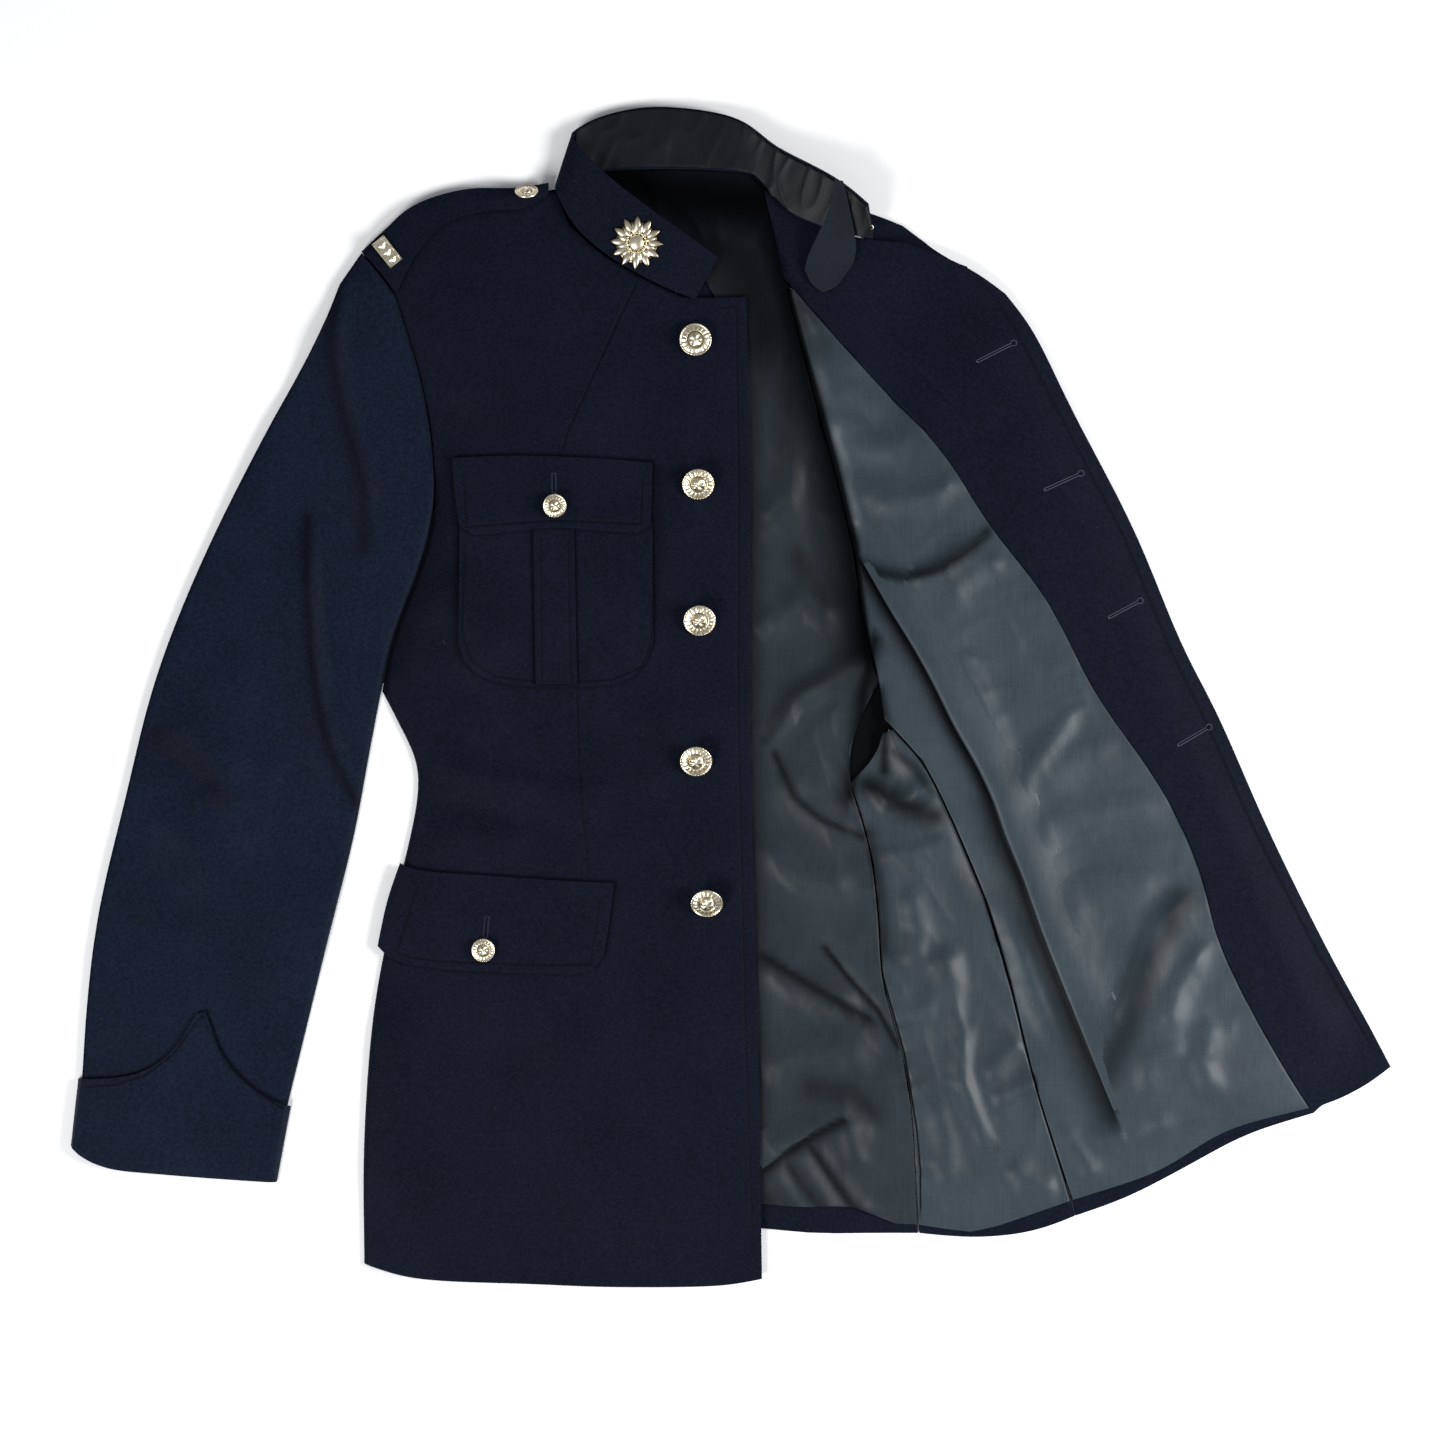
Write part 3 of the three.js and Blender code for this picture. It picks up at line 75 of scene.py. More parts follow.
# Creases: height and the widths to the left and right of the path, in millimetres, then the path
FRONT_CREASES = [
    (1.6, 16, 22, [(440, 565), (475, 620), (512, 668)]),
    (-1.0, 14, 14, [(432, 610), (452, 660), (470, 720)]),
    (1.7, 9, 18, [(425, 748), (470, 772), (560, 792), (640, 790)]),
    (-1.1, 12, 12, [(420, 790), (480, 812), (560, 820)]),
    (1.2, 10, 16, [(415, 845), (470, 832), (540, 846)]),
    (1.3, 16, 26, [(396, 990), (402, 1090), (396, 1220)]),
    (1.2, 34, 40, [(598, 985), (592, 1120), (598, 1262)]),
    (-0.9, 30, 30, [(520, 1000), (508, 1120), (512, 1260)]),
    (1.0, 30, 26, [(690, 960), (700, 1090), (702, 1250)]),
    (1.3, 22, 26, [(470, 275), (462, 340), (478, 420)]),
    (-1.0, 16, 16, [(432, 330), (440, 400), (452, 470)]),
    (1.0, 22, 22, [(610, 330), (600, 400), (580, 452)]),
    (0.9, 14, 14, [(690, 380), (672, 430), (684, 560)]),
    (1.0, 16, 14, [(655, 690), (664, 740), (652, 800)]),
    (-0.8, 12, 12, [(600, 700), (622, 770), (612, 850)]),
]
SLEEVE_CREASES = [
    (2.2, 9, 14, [(337, 298), (333, 332), (336, 370), (344, 409), (356, 453), (365, 488), (366, 547)]),
    (-1.4, 8, 8, [(352, 300), (350, 350), (358, 405), (372, 460)]),
    (2.2, 9, 18, [(309, 517), (309, 582), (313, 649), (321, 708), (332, 752), (353, 796)]),
    (-1.4, 8, 8, [(322, 530), (324, 600), (330, 670), (344, 730)]),
    (1.9, 12, 10, [(160, 716), (196, 738), (226, 772), (236, 824)]),
    (-1.2, 10, 10, [(152, 748), (186, 766), (212, 800)]),
    (1.5, 12, 14, [(250, 640), (236, 712), (240, 790)]),
    (1.3, 10, 12, [(280, 742), (262, 800), (250, 860)]),
    (1.5, 14, 12, [(140, 812), (168, 822), (200, 850), (210, 900)]),
    (-1.0, 12, 12, [(138, 862), (166, 880), (186, 930)]),
    (1.0, 18, 20, [(280, 380), (262, 470), (250, 560)]),
    (1.0, 14, 16, [(300, 860), (288, 930), (272, 1010)]),
    (0.9, 16, 16, [(120, 930), (116, 1000), (128, 1060)]),
    (1.1, 12, 12, [(356, 860), (330, 900), (318, 980)]),
]
VALLEY_RIDGE = (
    7.0, 9, 17, [(762, 190), (783, 278), (805, 366), (832, 464), (852, 546), (859, 600), (868, 650)],
)
BACK_LINING_SOFT = [
    (2.2, 10, 14, [(756, 560), (790, 470), (800, 380), (786, 300)]),
    (-1.0, 9, 9, [(812, 520), (818, 440), (806, 360)]),
    (2.6, 11, 9, [(756, 640), (800, 600), (846, 628)]),
    (2.4, 8, 10, [(764, 742), (792, 700), (838, 672), (872, 652)]),
    (-1.2, 7, 7, [(778, 752), (806, 714), (846, 690)]),
    (2.0, 8, 12, [(778, 762), (803, 804), (839, 828), (866, 840)]),
    (2.2, 10, 12, [(752, 836), (800, 872), (864, 894)]),
    (-1.0, 10, 10, [(756, 880), (806, 912), (868, 926)]),
    (2.8, 8, 12, [(756, 950), (792, 976), (840, 998), (868, 1016)]),
    (2.8, 16, 12, [(764, 1090), (792, 1060), (839, 1050), (880, 1066)]),
    (1.8, 10, 14, [(764, 1166), (806, 1136), (842, 1116), (860, 1130), (872, 1158)]),
    (2.0, 9, 9, [(806, 1138), (824, 1168), (848, 1202), (878, 1224)]),
    (1.2, 7, 7, [(784, 1158), (800, 1190), (822, 1218)]),
    (1.0, 7, 8, [(842, 1120), (852, 1146), (862, 1170)]),
]
BACK_LINING_SHARP = [
    (1.5, 3, 7, [(824, 946), (846, 974), (878, 1010), (900, 1044)]),
    (1.2, 3, 6, [(752, 960), (790, 992), (836, 1008)]),
    (1.0, 3, 5, [(778, 606), (802, 614), (824, 628), (842, 646)]),
    (1.0, 4, 4, [(778, 606), (764, 620), (754, 634)]),
    (1.1, 4, 5, [(836, 690), (830, 726), (842, 770)]),
    (1.0, 3, 4, [(814, 700), (814, 740), (832, 800)]),
    (1.0, 3, 5, [(752, 722), (764, 728), (776, 730)]),
    (0.9, 3, 4, [(760, 520), (778, 500), (800, 492)]),
    (0.9, 3, 4, [(758, 536), (776, 524), (786, 512)]),
    (0.9, 3, 5, [(846, 1010), (862, 1024), (868, 1016)]),
    (1.8, 3, 4, [(640, 176), (656, 196), (664, 232)]),
    (2.0, 4, 4, [(700, 178), (716, 210), (722, 250)]),
    (2.2, 4, 5, [(748, 182), (762, 230), (772, 270)]),
    (1.8, 4, 4, [(676, 178), (690, 214), (708, 246)]),
    (2.0, 4, 4, [(724, 178), (740, 214), (752, 262)]),
    (0.8, 4, 4, [(768, 1190), (790, 1204), (800, 1222)]),
]
SIDE_LINING_SOFT = [
    (3.2, 9, 7, [(868, 776), (888, 800), (912, 798), (932, 778)]),
    (-1.6, 8, 8, [(880, 822), (912, 818), (950, 828)]),
    (1.4, 6, 8, [(874, 852), (912, 854), (952, 838)]),
    (-1.4, 7, 7, [(884, 874), (892, 918), (888, 962)]),
    (2.2, 9, 9, [(904, 880), (918, 930), (912, 980)]),
    (2.2, 9, 8, [(943, 940), (938, 988), (916, 1026)]),
    (2.0, 8, 8, [(948, 936), (956, 990), (950, 1040)]),
    (2.2, 7, 8, [(968, 1008), (958, 1062), (974, 1116), (994, 1168)]),
    (1.8, 8, 7, [(984, 1084), (1001, 1060), (1024, 1034)]),
    (1.8, 7, 8, [(988, 1104), (1033, 1082), (1052, 1076)]),
    (-1.2, 8, 8, [(1000, 1128), (1024, 1104), (1040, 1100)]),
    (2.0, 9, 8, [(1004, 1160), (1024, 1178), (1044, 1186), (1062, 1186)]),
    (1.6, 9, 9, [(930, 1090), (946, 1140), (944, 1196)]),
]
SIDE_LINING_SHARP = [
    (1.2, 3, 6, [(884, 976), (896, 990), (908, 1000)]),
    (1.2, 4, 4, [(947, 1082), (960, 1110), (972, 1132)]),
    (1.0, 3, 4, [(940, 1076), (956, 1082), (968, 1082)]),
    (1.0, 4, 4, [(956, 1010), (966, 1050), (968, 1100)]),
    (1.0, 3, 5, [(972, 1190), (954, 1196), (932, 1190)]),
    (0.9, 3, 4, [(986, 1010), (1000, 1030), (1012, 1036)]),
    (1.0, 3, 4, [(906, 1058), (914, 1080), (926, 1094)]),
    (1.1, 4, 4, [(1000, 1150), (992, 1176), (1004, 1200)]),
]
FRONT_LINING_SOFT = [
    (2.8, 7, 12, [(852, 560), (880, 576), (912, 580), (944, 566), (984, 532)]),
    (2.0, 9, 10, [(838, 470), (880, 500), (930, 496), (972, 470)]),
    (1.8, 12, 12, [(812, 340), (850, 390), (900, 420)]),
    (1.8, 10, 12, [(818, 400), (852, 440), (916, 452)]),
    (1.6, 10, 9, [(800, 300), (846, 332), (872, 372)]),
    (1.8, 8, 9, [(944, 612), (956, 588), (984, 566), (1010, 560)]),
    (2.2, 8, 9, [(950, 652), (976, 696), (1008, 772)]),
    (2.2, 9, 8, [(1000, 812), (1020, 784), (1044, 748), (1082, 700)]),
    (1.6, 12, 12, [(1008, 852), (1060, 822), (1130, 806), (1176, 806)]),
    (-1.0, 12, 12, [(1016, 884), (1080, 852), (1150, 838)]),
    (1.4, 14, 12, [(1036, 930), (1100, 894), (1176, 876)]),
    (1.4, 12, 12, [(1030, 792), (1076, 756), (1120, 742)]),
    (3.0, 9, 16, [(1116, 1040), (1130, 990), (1152, 928), (1196, 880)]),
    (-1.6, 10, 10, [(1096, 1020), (1112, 960), (1140, 906)]),
    (2.2, 7, 9, [(1160, 1040), (1176, 990), (1206, 936)]),
    (2.2, 9, 9, [(1212, 1010), (1200, 1060), (1214, 1102)]),
    (1.8, 9, 9, [(1128, 1100), (1150, 1060), (1190, 1040)]),
    (2.0, 9, 9, [(1084, 1150), (1120, 1130), (1180, 1120)]),
    (1.4, 8, 10, [(1006, 900), (1026, 960), (1060, 1060)]),
    (1.4, 10, 9, [(984, 880), (1010, 950), (1040, 1040)]),
    (1.4, 9, 9, [(1060, 1120), (1082, 1160), (1100, 1182)]),
]
FRONT_LINING_SHARP = [
    (1.0, 3, 4, [(932, 508), (942, 490), (952, 474)]),
    (1.3, 3, 7, [(904, 580), (930, 576), (956, 558)]),
    (1.2, 3, 5, [(928, 662), (958, 654), (1008, 666)]),
    (1.1, 4, 4, [(958, 656), (964, 668), (962, 686)]),
    (1.1, 3, 4, [(1000, 614), (1018, 642), (1014, 660)]),
    (1.3, 3, 6, [(1092, 692), (1064, 700), (1036, 718)]),
    (1.1, 3, 5, [(1096, 700), (1070, 712), (1056, 728)]),
    (1.0, 4, 4, [(1052, 600), (1030, 604), (1010, 616)]),
    (1.0, 3, 4, [(1080, 660), (1060, 664), (1046, 676)]),
    (1.0, 3, 4, [(1020, 566), (1000, 560), (984, 566)]),
    (1.1, 3, 6, [(1184, 972), (1196, 952), (1212, 934)]),
    (1.2, 4, 4, [(1108, 1122), (1118, 1102), (1124, 1078)]),
    (1.0, 3, 4, [(1000, 812), (1016, 800), (1034, 800)]),
    (1.0, 4, 4, [(868, 572), (890, 586), (912, 592)]),
    (1.0, 4, 4, [(1076, 1143), (1086, 1160), (1092, 1178)]),
    (1.0, 3, 5, [(1200, 1060), (1222, 1040), (1236, 1016)]),
    (0.9, 3, 4, [(846, 376), (868, 404), (876, 436)]),
    (0.9, 3, 4, [(826, 430), (846, 420), (872, 426)]),
]
# The deep pleat of the left front's lining: its edge leans over the cloth on its left
PLEAT = [(862, 562), (890, 610), (914, 648), (934, 684), (954, 726), (976, 762), (994, 800)]
PLEAT_LOW = [(994, 800), (1004, 836), (1019, 869), (1040, 930), (1066, 995), (1091, 1056), (1114, 1112)]
PLEAT_LINE = PLEAT + PLEAT_LOW[1:]
PLEAT_STEP = 4.4
# Along it: the share of the way, how far its lip reaches over, and how high it stands
LIP_SHAPE = np.array([
    (0, 0.1, 0.1), (0.1, 0.7, 0.8), (0.3, 1, 1), (0.43, 1.15, 1.15),
    (0.52, 0.5, 0.85), (0.8, 0.3, 0.7), (1, 0, 0),
])
BACK_FOLD = [(762, 1168), (784, 1152), (806, 1138), (826, 1126), (844, 1118)]
BACK_FOLD_SHAPE = np.array([(0, 1, 0.75), (0.5, 1, 0.7), (0.8, 1, 0.45), (1, 0, 0)])
# Painted shade, where the satin is painted dark because it lies deep in shade: share, widths to the left and
# right, and the path
PAINTED_SHADE_ROWS = [
    (1.0, 50, 50, [(610, 176), (680, 196), (760, 204)]),
    (0.8, 45, 45, [(700, 230), (745, 262), (766, 330)]),
    (0.97, 3, 28, [(764, 200), (786, 280), (809, 366), (836, 464), (856, 546), (862, 600), (868, 650)]),
    (0.55, 8, 5, [(752, 300), (752, 700), (760, 1230)]),
    (1.0, 2, 9, PLEAT),
    (0.85, 2, 14, PLEAT_LOW),
    (0.9, 6, 9, [(874, 640), (864, 690), (858, 750), (850, 796)]),
    (0.8, 9, 9, [(866, 784), (905, 806), (934, 816)]),
    (0.85, 5, 5, [(878, 690), (884, 722), (884, 770)]),
    (0.6, 4, 4, [(893, 752), (915, 768), (928, 790)]),
    (0.85, 3, 6, [(764, 1168), (806, 1138), (842, 1119)]),
    (0.7, 4, 3, [(806, 1140), (828, 1172), (850, 1204), (878, 1228)]),
    (0.6, 5, 3, [(786, 1162), (806, 1190), (830, 1220)]),
    (0.6, 9, 9, [(762, 1196), (782, 1214)]),
    (0.7, 8, 1.5, [(866, 836), (876, 890), (882, 950)]),
    (0.8, 6, 4, [(854, 562), (880, 574), (905, 579), (940, 570), (970, 550), (986, 534)]),
    (0.5, 8, 4, [(764, 742), (800, 690), (846, 670)]),
    (0.7, 3, 3, [(775, 754), (794, 797), (820, 819), (863, 837)]),
    (0.6, 11, 13, [(1104, 1074), (1128, 1020), (1150, 960), (1178, 900)]),
    (0.75, 3, 7, [(762, 954), (812, 985), (869, 1018)]),
    (0.8, 2, 3, [(824, 946), (846, 974), (878, 1010), (898, 1046)]),
    (0.5, 10, 10, [(812, 1086), (850, 1092), (872, 1112)]),
    (0.5, 12, 9, [(800, 560), (826, 600), (846, 636)]),
]
# Painted shade on the right sleeve, in its folds, in the same columns
SLEEVE_PAINTED_SHADE_ROWS = [
    (0.5, 5, 7, [(337, 298), (333, 332), (336, 370), (344, 409), (356, 453), (365, 488), (366, 547)]),
    (0.65, 3, 5, [(309, 517), (309, 582), (313, 649), (321, 708), (332, 752), (357, 802)]),
    (0.35, 10, 10, [(160, 740), (196, 762), (226, 800)]),
]
# Painted shade on the right front, beside the sleeve and the pocket, in the same columns
FRONT_PAINTED_SHADE_ROWS = [
    (0.6, 15, 2, [(434, 488), (430, 530), (416, 578), (400, 621), (388, 662)]),
    (0.35, 6, 6, [(458, 530), (455, 600), (458, 650)]),
    (0.4, 5, 5, [(657, 472), (657, 540), (655, 620)]),
]
FACING_CREASES = [
    (0.9, 14, 14, [(1000, 420), (1040, 470), (1080, 520)]),
    (0.8, 10, 10, [(1060, 560), (1090, 590), (1094, 640)]),
    (-0.6, 10, 10, [(1048, 572), (1078, 562), (1104, 580)]),
    (0.8, 14, 14, [(1160, 800), (1200, 860), (1220, 920)]),
    (0.7, 12, 12, [(900, 330), (940, 380), (980, 440)]),
]


def measured(path):
    """A path of pixels in metres: its points, the length of each run, and where each run starts."""
    points = np.array([place(*p) for p in path])
    runs = np.linalg.norm(np.diff(points, axis=0), axis=1)
    return points, runs, np.concatenate([[0], np.cumsum(runs)])


def along_path(xy, path):
    """Signed distance of places to a path of pixels, in millimetres, and how far along it they are."""
    points, runs, starts = measured(path)
    best = np.full(len(xy), np.inf)
    side = np.ones(len(xy))
    along = np.zeros(len(xy))
    for i, run in enumerate(runs):
        a, step = points[i], points[i + 1] - points[i]
        t = np.clip(((xy - a) @ step) / run**2, 0, 1)
        off = xy - a - t[:, None] * step
        distance = np.hypot(off[:, 0], off[:, 1])
        nearer = distance < best
        best[nearer] = distance[nearer]
        side[nearer] = np.sign(step[0] * off[:, 1] - step[1] * off[:, 0])[nearer]
        along[nearer] = ((starts[i] + t * run) / starts[-1])[nearer]
    return best / MM * np.where(side == 0, 1, side), along


def relief(xy, table, sharp=False):
    """Height in millimetres of a table of creases at each place. Sharp ones have a fine edge."""
    total = np.zeros(len(xy))
    for height, left, right, path in table:
        distance, along = along_path(xy, path)
        wide = np.where(distance > 0, left, right)
        fade = smooth(np.minimum(along, 1 - along) / END_FADE)
        near = np.abs(distance) / wide
        total += height * fade * np.exp(-near if sharp else -(near**2))
    return total


def rumple(xy, size, stretch=1.0, turn=0.0, seed=0.0):
    """Smooth noise from -1 to 1. size is its grain in millimetres, drawn out by stretch along turn."""
    c, s = math.cos(turn), math.sin(turn)
    u = (xy[:, 0] * c + xy[:, 1] * s) / (size * stretch * MM)
    v = (xy[:, 1] * c - xy[:, 0] * s) / (size * MM)
    return np.array([noise.noise(Vector((a, b, seed))) for a, b in zip(u, v)])


def ridged(xy, size, stretch, turn, seed):
    """Noise with fine raised lines, from 0 to 1, as in crushed satin."""
    return (1 - np.abs(rumple(xy, size, stretch, turn, seed)) * 2).clip(0, 1) ** 3


def coordinates(mesh):
    co = np.empty(len(mesh.vertices) * 3)
    mesh.vertices.foreach_get("co", co)
    return co.reshape(-1, 3)


def set_coordinates(mesh, co):
    mesh.vertices.foreach_set("co", co.ravel())
    mesh.update()


def normals(mesh):
    found = np.empty(len(mesh.vertices) * 3)
    mesh.vertices.foreach_get("normal", found)
    return found.reshape(-1, 3)


def new_object(name, data):
    piece = bpy.data.objects.new(name, data)
    bpy.context.scene.collection.objects.link(piece)
    return piece


def shade(mesh, rounded=True):
    """Shades all of a mesh round, or all of it in flat faces."""
    for polygon in mesh.polygons:
        polygon.use_smooth = rounded


def added_piece(name, bm, materials, rounded=True):
    """Makes a piece that the CAD part doesn't have, which rides on the jacket."""
    mesh = bpy.data.meshes.new(name)
    bm.to_mesh(mesh)
    bm.free()
    for material in materials:
        mesh.materials.append(material)
    shade(mesh, rounded)
    piece = new_object(name, mesh)
    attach(piece, "root")
    return piece


def apply_modifiers(piece):
    depsgraph = bpy.context.evaluated_depsgraph_get()
    made = bpy.data.meshes.new_from_object(piece.evaluated_get(depsgraph))
    piece.modifiers.clear()
    piece.data = made


RIM_ANGLE = math.radians(42)
QUAD_BEND = math.radians(50)
CORNER_ANGLE = math.radians(14)


def cloth(node, levels):
    """A dense smooth copy of a CAD node's mesh. Its rims keep their place."""
    bm = bmesh.new()
    bm.from_mesh(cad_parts[node].data)
    bmesh.ops.remove_doubles(bm, verts=bm.verts, dist=1e-5)
    bmesh.ops.join_triangles(
        bm, faces=bm.faces[:], angle_face_threshold=QUAD_BEND, angle_shape_threshold=math.pi
    )
    crease = bm.edges.layers.float.new("crease_edge")
    corner = bm.verts.layers.float.new("crease_vert")
    rims = {e for e in bm.edges if e.calc_face_angle(0) > RIM_ANGLE}
    for edge in rims:
        edge[crease] = 1
    for vert in bm.verts:
        ends = [edge.other_vert(vert).co - vert.co for edge in vert.link_edges if edge in rims]
        if len(ends) == 2 and ends[0].angle(-ends[1], 0) > CORNER_ANGLE:
            vert[corner] = 1
    mesh = bpy.data.meshes.new(node + "_cloth")
    bm.to_mesh(mesh)
    bm.free()
    piece = new_object(node + "_cloth", mesh)
    if levels:
        modifier = piece.modifiers.new("subdivide", "SUBSURF")
        modifier.levels = modifier.render_levels = levels
        apply_modifiers(piece)
    return piece


FACE_GAIN = 1.6  # steeper parts of the cloth count less as its upper or lower face


def push(piece, height):
    """Moves the piece's faces by a height function of the place, in millimetres.

    The upper face follows it in full. The lower face is only raised, so nothing sinks below it.
    """
    mesh = piece.data
    co, up = coordinates(mesh), normals(mesh)[:, 2]
    rise = height(co[:, :2]) * MM
    upper = np.clip(up * FACE_GAIN, 0, 1)
    lower = np.clip(-up * FACE_GAIN, 0, 1)
    co[:, 2] += rise * upper + np.maximum(rise, 0) * lower
    co[:, 2] = np.maximum(co[:, 2], 0)
    set_coordinates(mesh, co)


def smooth_heights(piece, path, reach, rounds):
    """Evens out the heights of the cloth within reach of a path, in millimetres."""
    bm = bmesh.new()
    bm.from_mesh(piece.data)
    distance, _ = along_path(coordinates(piece.data)[:, :2], path)
    near = [v for v, d in zip(bm.verts, distance) if abs(d) < reach]
    for _ in range(rounds):
        bmesh.ops.smooth_vert(
            bm, verts=near, factor=0.5, use_axis_x=False, use_axis_y=False, use_axis_z=True
        )
    bm.to_mesh(piece.data)
    bm.free()


def surface(piece):
    mesh = piece.data
    return BVHTree.FromPolygons([v.co for v in mesh.vertices], [p.vertices for p in mesh.polygons])


DOWN = Vector((0, 0, -1))
ABOVE = 0.2  # a height over the whole jacket, in metres
UPWARD = 0.3  # a face that points up at least this much belongs to a layer's upper side
LAYER_GAP = 0.25  # between two layers of cloth, in millimetres


def height_on(tree, x, y):
    hit = tree.ray_cast(Vector((x, y, ABOVE)), DOWN)[0]
    return hit.z if hit else None


def rest_on(piece, tree, gap, thick):
    """Raises what lies lower than the cloth beneath it, so that layers don't cut each other."""
    mesh = piece.data
    co, up = coordinates(mesh), normals(mesh)[:, 2]
    for i, (x, y, z) in enumerate(co):
        below = height_on(tree, x, y)
        if below is not None:
            least = below + (gap + (thick if up[i] > UPWARD else 0)) * MM
            co[i, 2] = max(z, least)
    set_coordinates(mesh, co)


def soften_rims(piece, width):
    """A small round on the piece's cut edges, and smooth shading."""
    bm = bmesh.new()
    bm.from_mesh(piece.data)
    rims = [e for e in bm.edges if e.calc_face_angle(0) > RIM_ANGLE]
    bmesh.ops.bevel(
        bm, geom=rims, offset=width * MM, segments=2, profile=0.6, affect="EDGES", clamp_overlap=True
    )
    bm.to_mesh(piece.data)
    bm.free()
    shade(piece.data)


def mark_painted_shade(piece, table):
    """Stores how much shade is painted at each point, 0 to 1, for the finish to darken it."""
    xy = coordinates(piece.data)[:, :2]
    painted_shade = np.zeros(len(xy), np.float32)
    for share, left, right, path in table:
        distance, _ = along_path(xy, path)
        wide = np.where(distance > 0, left, right)
        painted_shade = np.maximum(painted_shade, share * np.exp(-((distance / wide) ** 2)))
    piece.data.attributes.new("painted_shade", "FLOAT", "POINT").data.foreach_set("value", painted_shade)


def mark_seams(piece, paths):
    """Stores each point's signed distance to each seam and whether it lies beside it, for the finish."""
    mesh = piece.data
    for index, path in enumerate(paths):
        distance, along = along_path(coordinates(mesh)[:, :2], path)
        values = np.zeros((len(mesh.vertices), 3), np.float32)
        values[:, 0] = np.clip(distance, -FAR, FAR)
        values[:, 1] = smooth(along / SEAM_END_FADE) * smooth((1 - along) / SEAM_END_FADE)
        layer = mesh.attributes.new(f"seam_{index}", "FLOAT_VECTOR", "POINT")
        layer.data.foreach_set("vector", values.ravel())


# Finishes

def srgb(red, green, blue):
    """A colour given in the 0 to 255 scale of a screen, as linear light."""
    parts = [c / 255 for c in (red, green, blue)]
    return tuple(p / 12.92 if p < 0.04045 else ((p + 0.055) / 1.055) ** 2.4 for p in parts) + (1,)


def shaded(colour, factor):
    """A colour made darker or lighter."""
    return tuple(c * factor for c in colour[:3]) + (1,)


class Finish:
    """A material and a short way to add and join its nodes."""

    def __init__(self, name):
        self.material = bpy.data.materials.new(name)
        self.material.use_nodes = True
        self.nodes = self.material.node_tree.nodes
        self.links = self.material.node_tree.links
        self.shader = self.nodes["Principled BSDF"]

    def add(self, kind, inputs=None, **settings):
        node = self.nodes.new(kind)
        for key, value in settings.items():
            setattr(node, key, value)
        for key, value in (inputs or {}).items():
            self.set(node, key, value)
        return node

    def set(self, node, key, value):
        if isinstance(value, bpy.types.NodeSocket):
            self.links.new(value, node.inputs[key])
        else:
            node.inputs[key].default_value = value

    def math(self, operation, a, b=0.0):
        return self.add("ShaderNodeMath", {0: a, 1: b}, operation=operation).outputs[0]

    def place(self):
        return self.add("ShaderNodeTexCoord").outputs["Object"]

    def noise(self, scale, detail=2.0, roughness=0.5, vector=None):
        inputs = {"Scale": scale, "Detail": detail, "Roughness": roughness, "Vector": vector or self.place()}
        return self.add("ShaderNodeTexNoise", inputs).outputs["Fac"]

    def stretch(self, scale, turn=0.0):
        inputs = {"Vector": self.place(), "Scale": scale, "Rotation": (0, 0, turn)}
        return self.add("ShaderNodeMapping", inputs).outputs["Vector"]

    def ramp(self, factor, stops):
        node = self.add("ShaderNodeValToRGB", {"Fac": factor})
        while len(node.color_ramp.elements) < len(stops):
            node.color_ramp.elements.new(0.5)
        for element, (position, colour) in zip(node.color_ramp.elements, stops):
            element.position = position
            element.color = colour
        return node.outputs["Color"]

    def mix(self, factor, a, b, blend="MIX"):
        node = self.add("ShaderNodeMix", data_type="RGBA", blend_type=blend)
        self.set(node, 0, factor)
        self.set(node, 6, a)
        self.set(node, 7, b)
        return node.outputs[2]

    def bump(self, height, strength, distance, normal=None):
        inputs = {"Height": height, "Strength": strength, "Distance": distance}
        if normal is not None:
            inputs["Normal"] = normal
        return self.add("ShaderNodeBump", inputs).outputs["Normal"]

    def stored(self, name):
        """A value from 0 to 1 that a mark in the mesh holds, or 0 where the mesh has no such mark."""
        return self.add("ShaderNodeAttribute", attribute_name=name).outputs["Fac"]

    def painted_contact_shadow(self):
        """Painted contact shadow: how dark the cloth is painted beside what lies on it, by the nearness
        stored in the mesh.
        """
        return self.math("MULTIPLY", self.math("POWER", self.stored("near"), 4.0), 0.9)

    def seams(self, count, width):
        """How deep a sewn groove is, 0 to 1, by the seam distances stored in the mesh."""
        total = None
        for index in range(count):
            mark = self.add("ShaderNodeAttribute", attribute_name=f"seam_{index}").outputs["Vector"]
            parts = self.add("ShaderNodeSeparateXYZ", {0: mark}).outputs
            share = self.math("DIVIDE", parts["X"], width)
            fall = self.math("EXPONENT", self.math("MULTIPLY", self.math("MULTIPLY", share, share), -1.0))
            depth = self.math("MULTIPLY", fall, parts["Y"])
            total = depth if total is None else self.math("MAXIMUM", total, depth)
        return total


TWILL_PITCH = 1.1 * MM  # from band to band, across them
WAVE_PITCH = 0.628  # the wave texture's diagonal bands at scale 1 lie this far apart along X, in metres
DIAGONAL = 1.414  # and are this many times closer across the bands


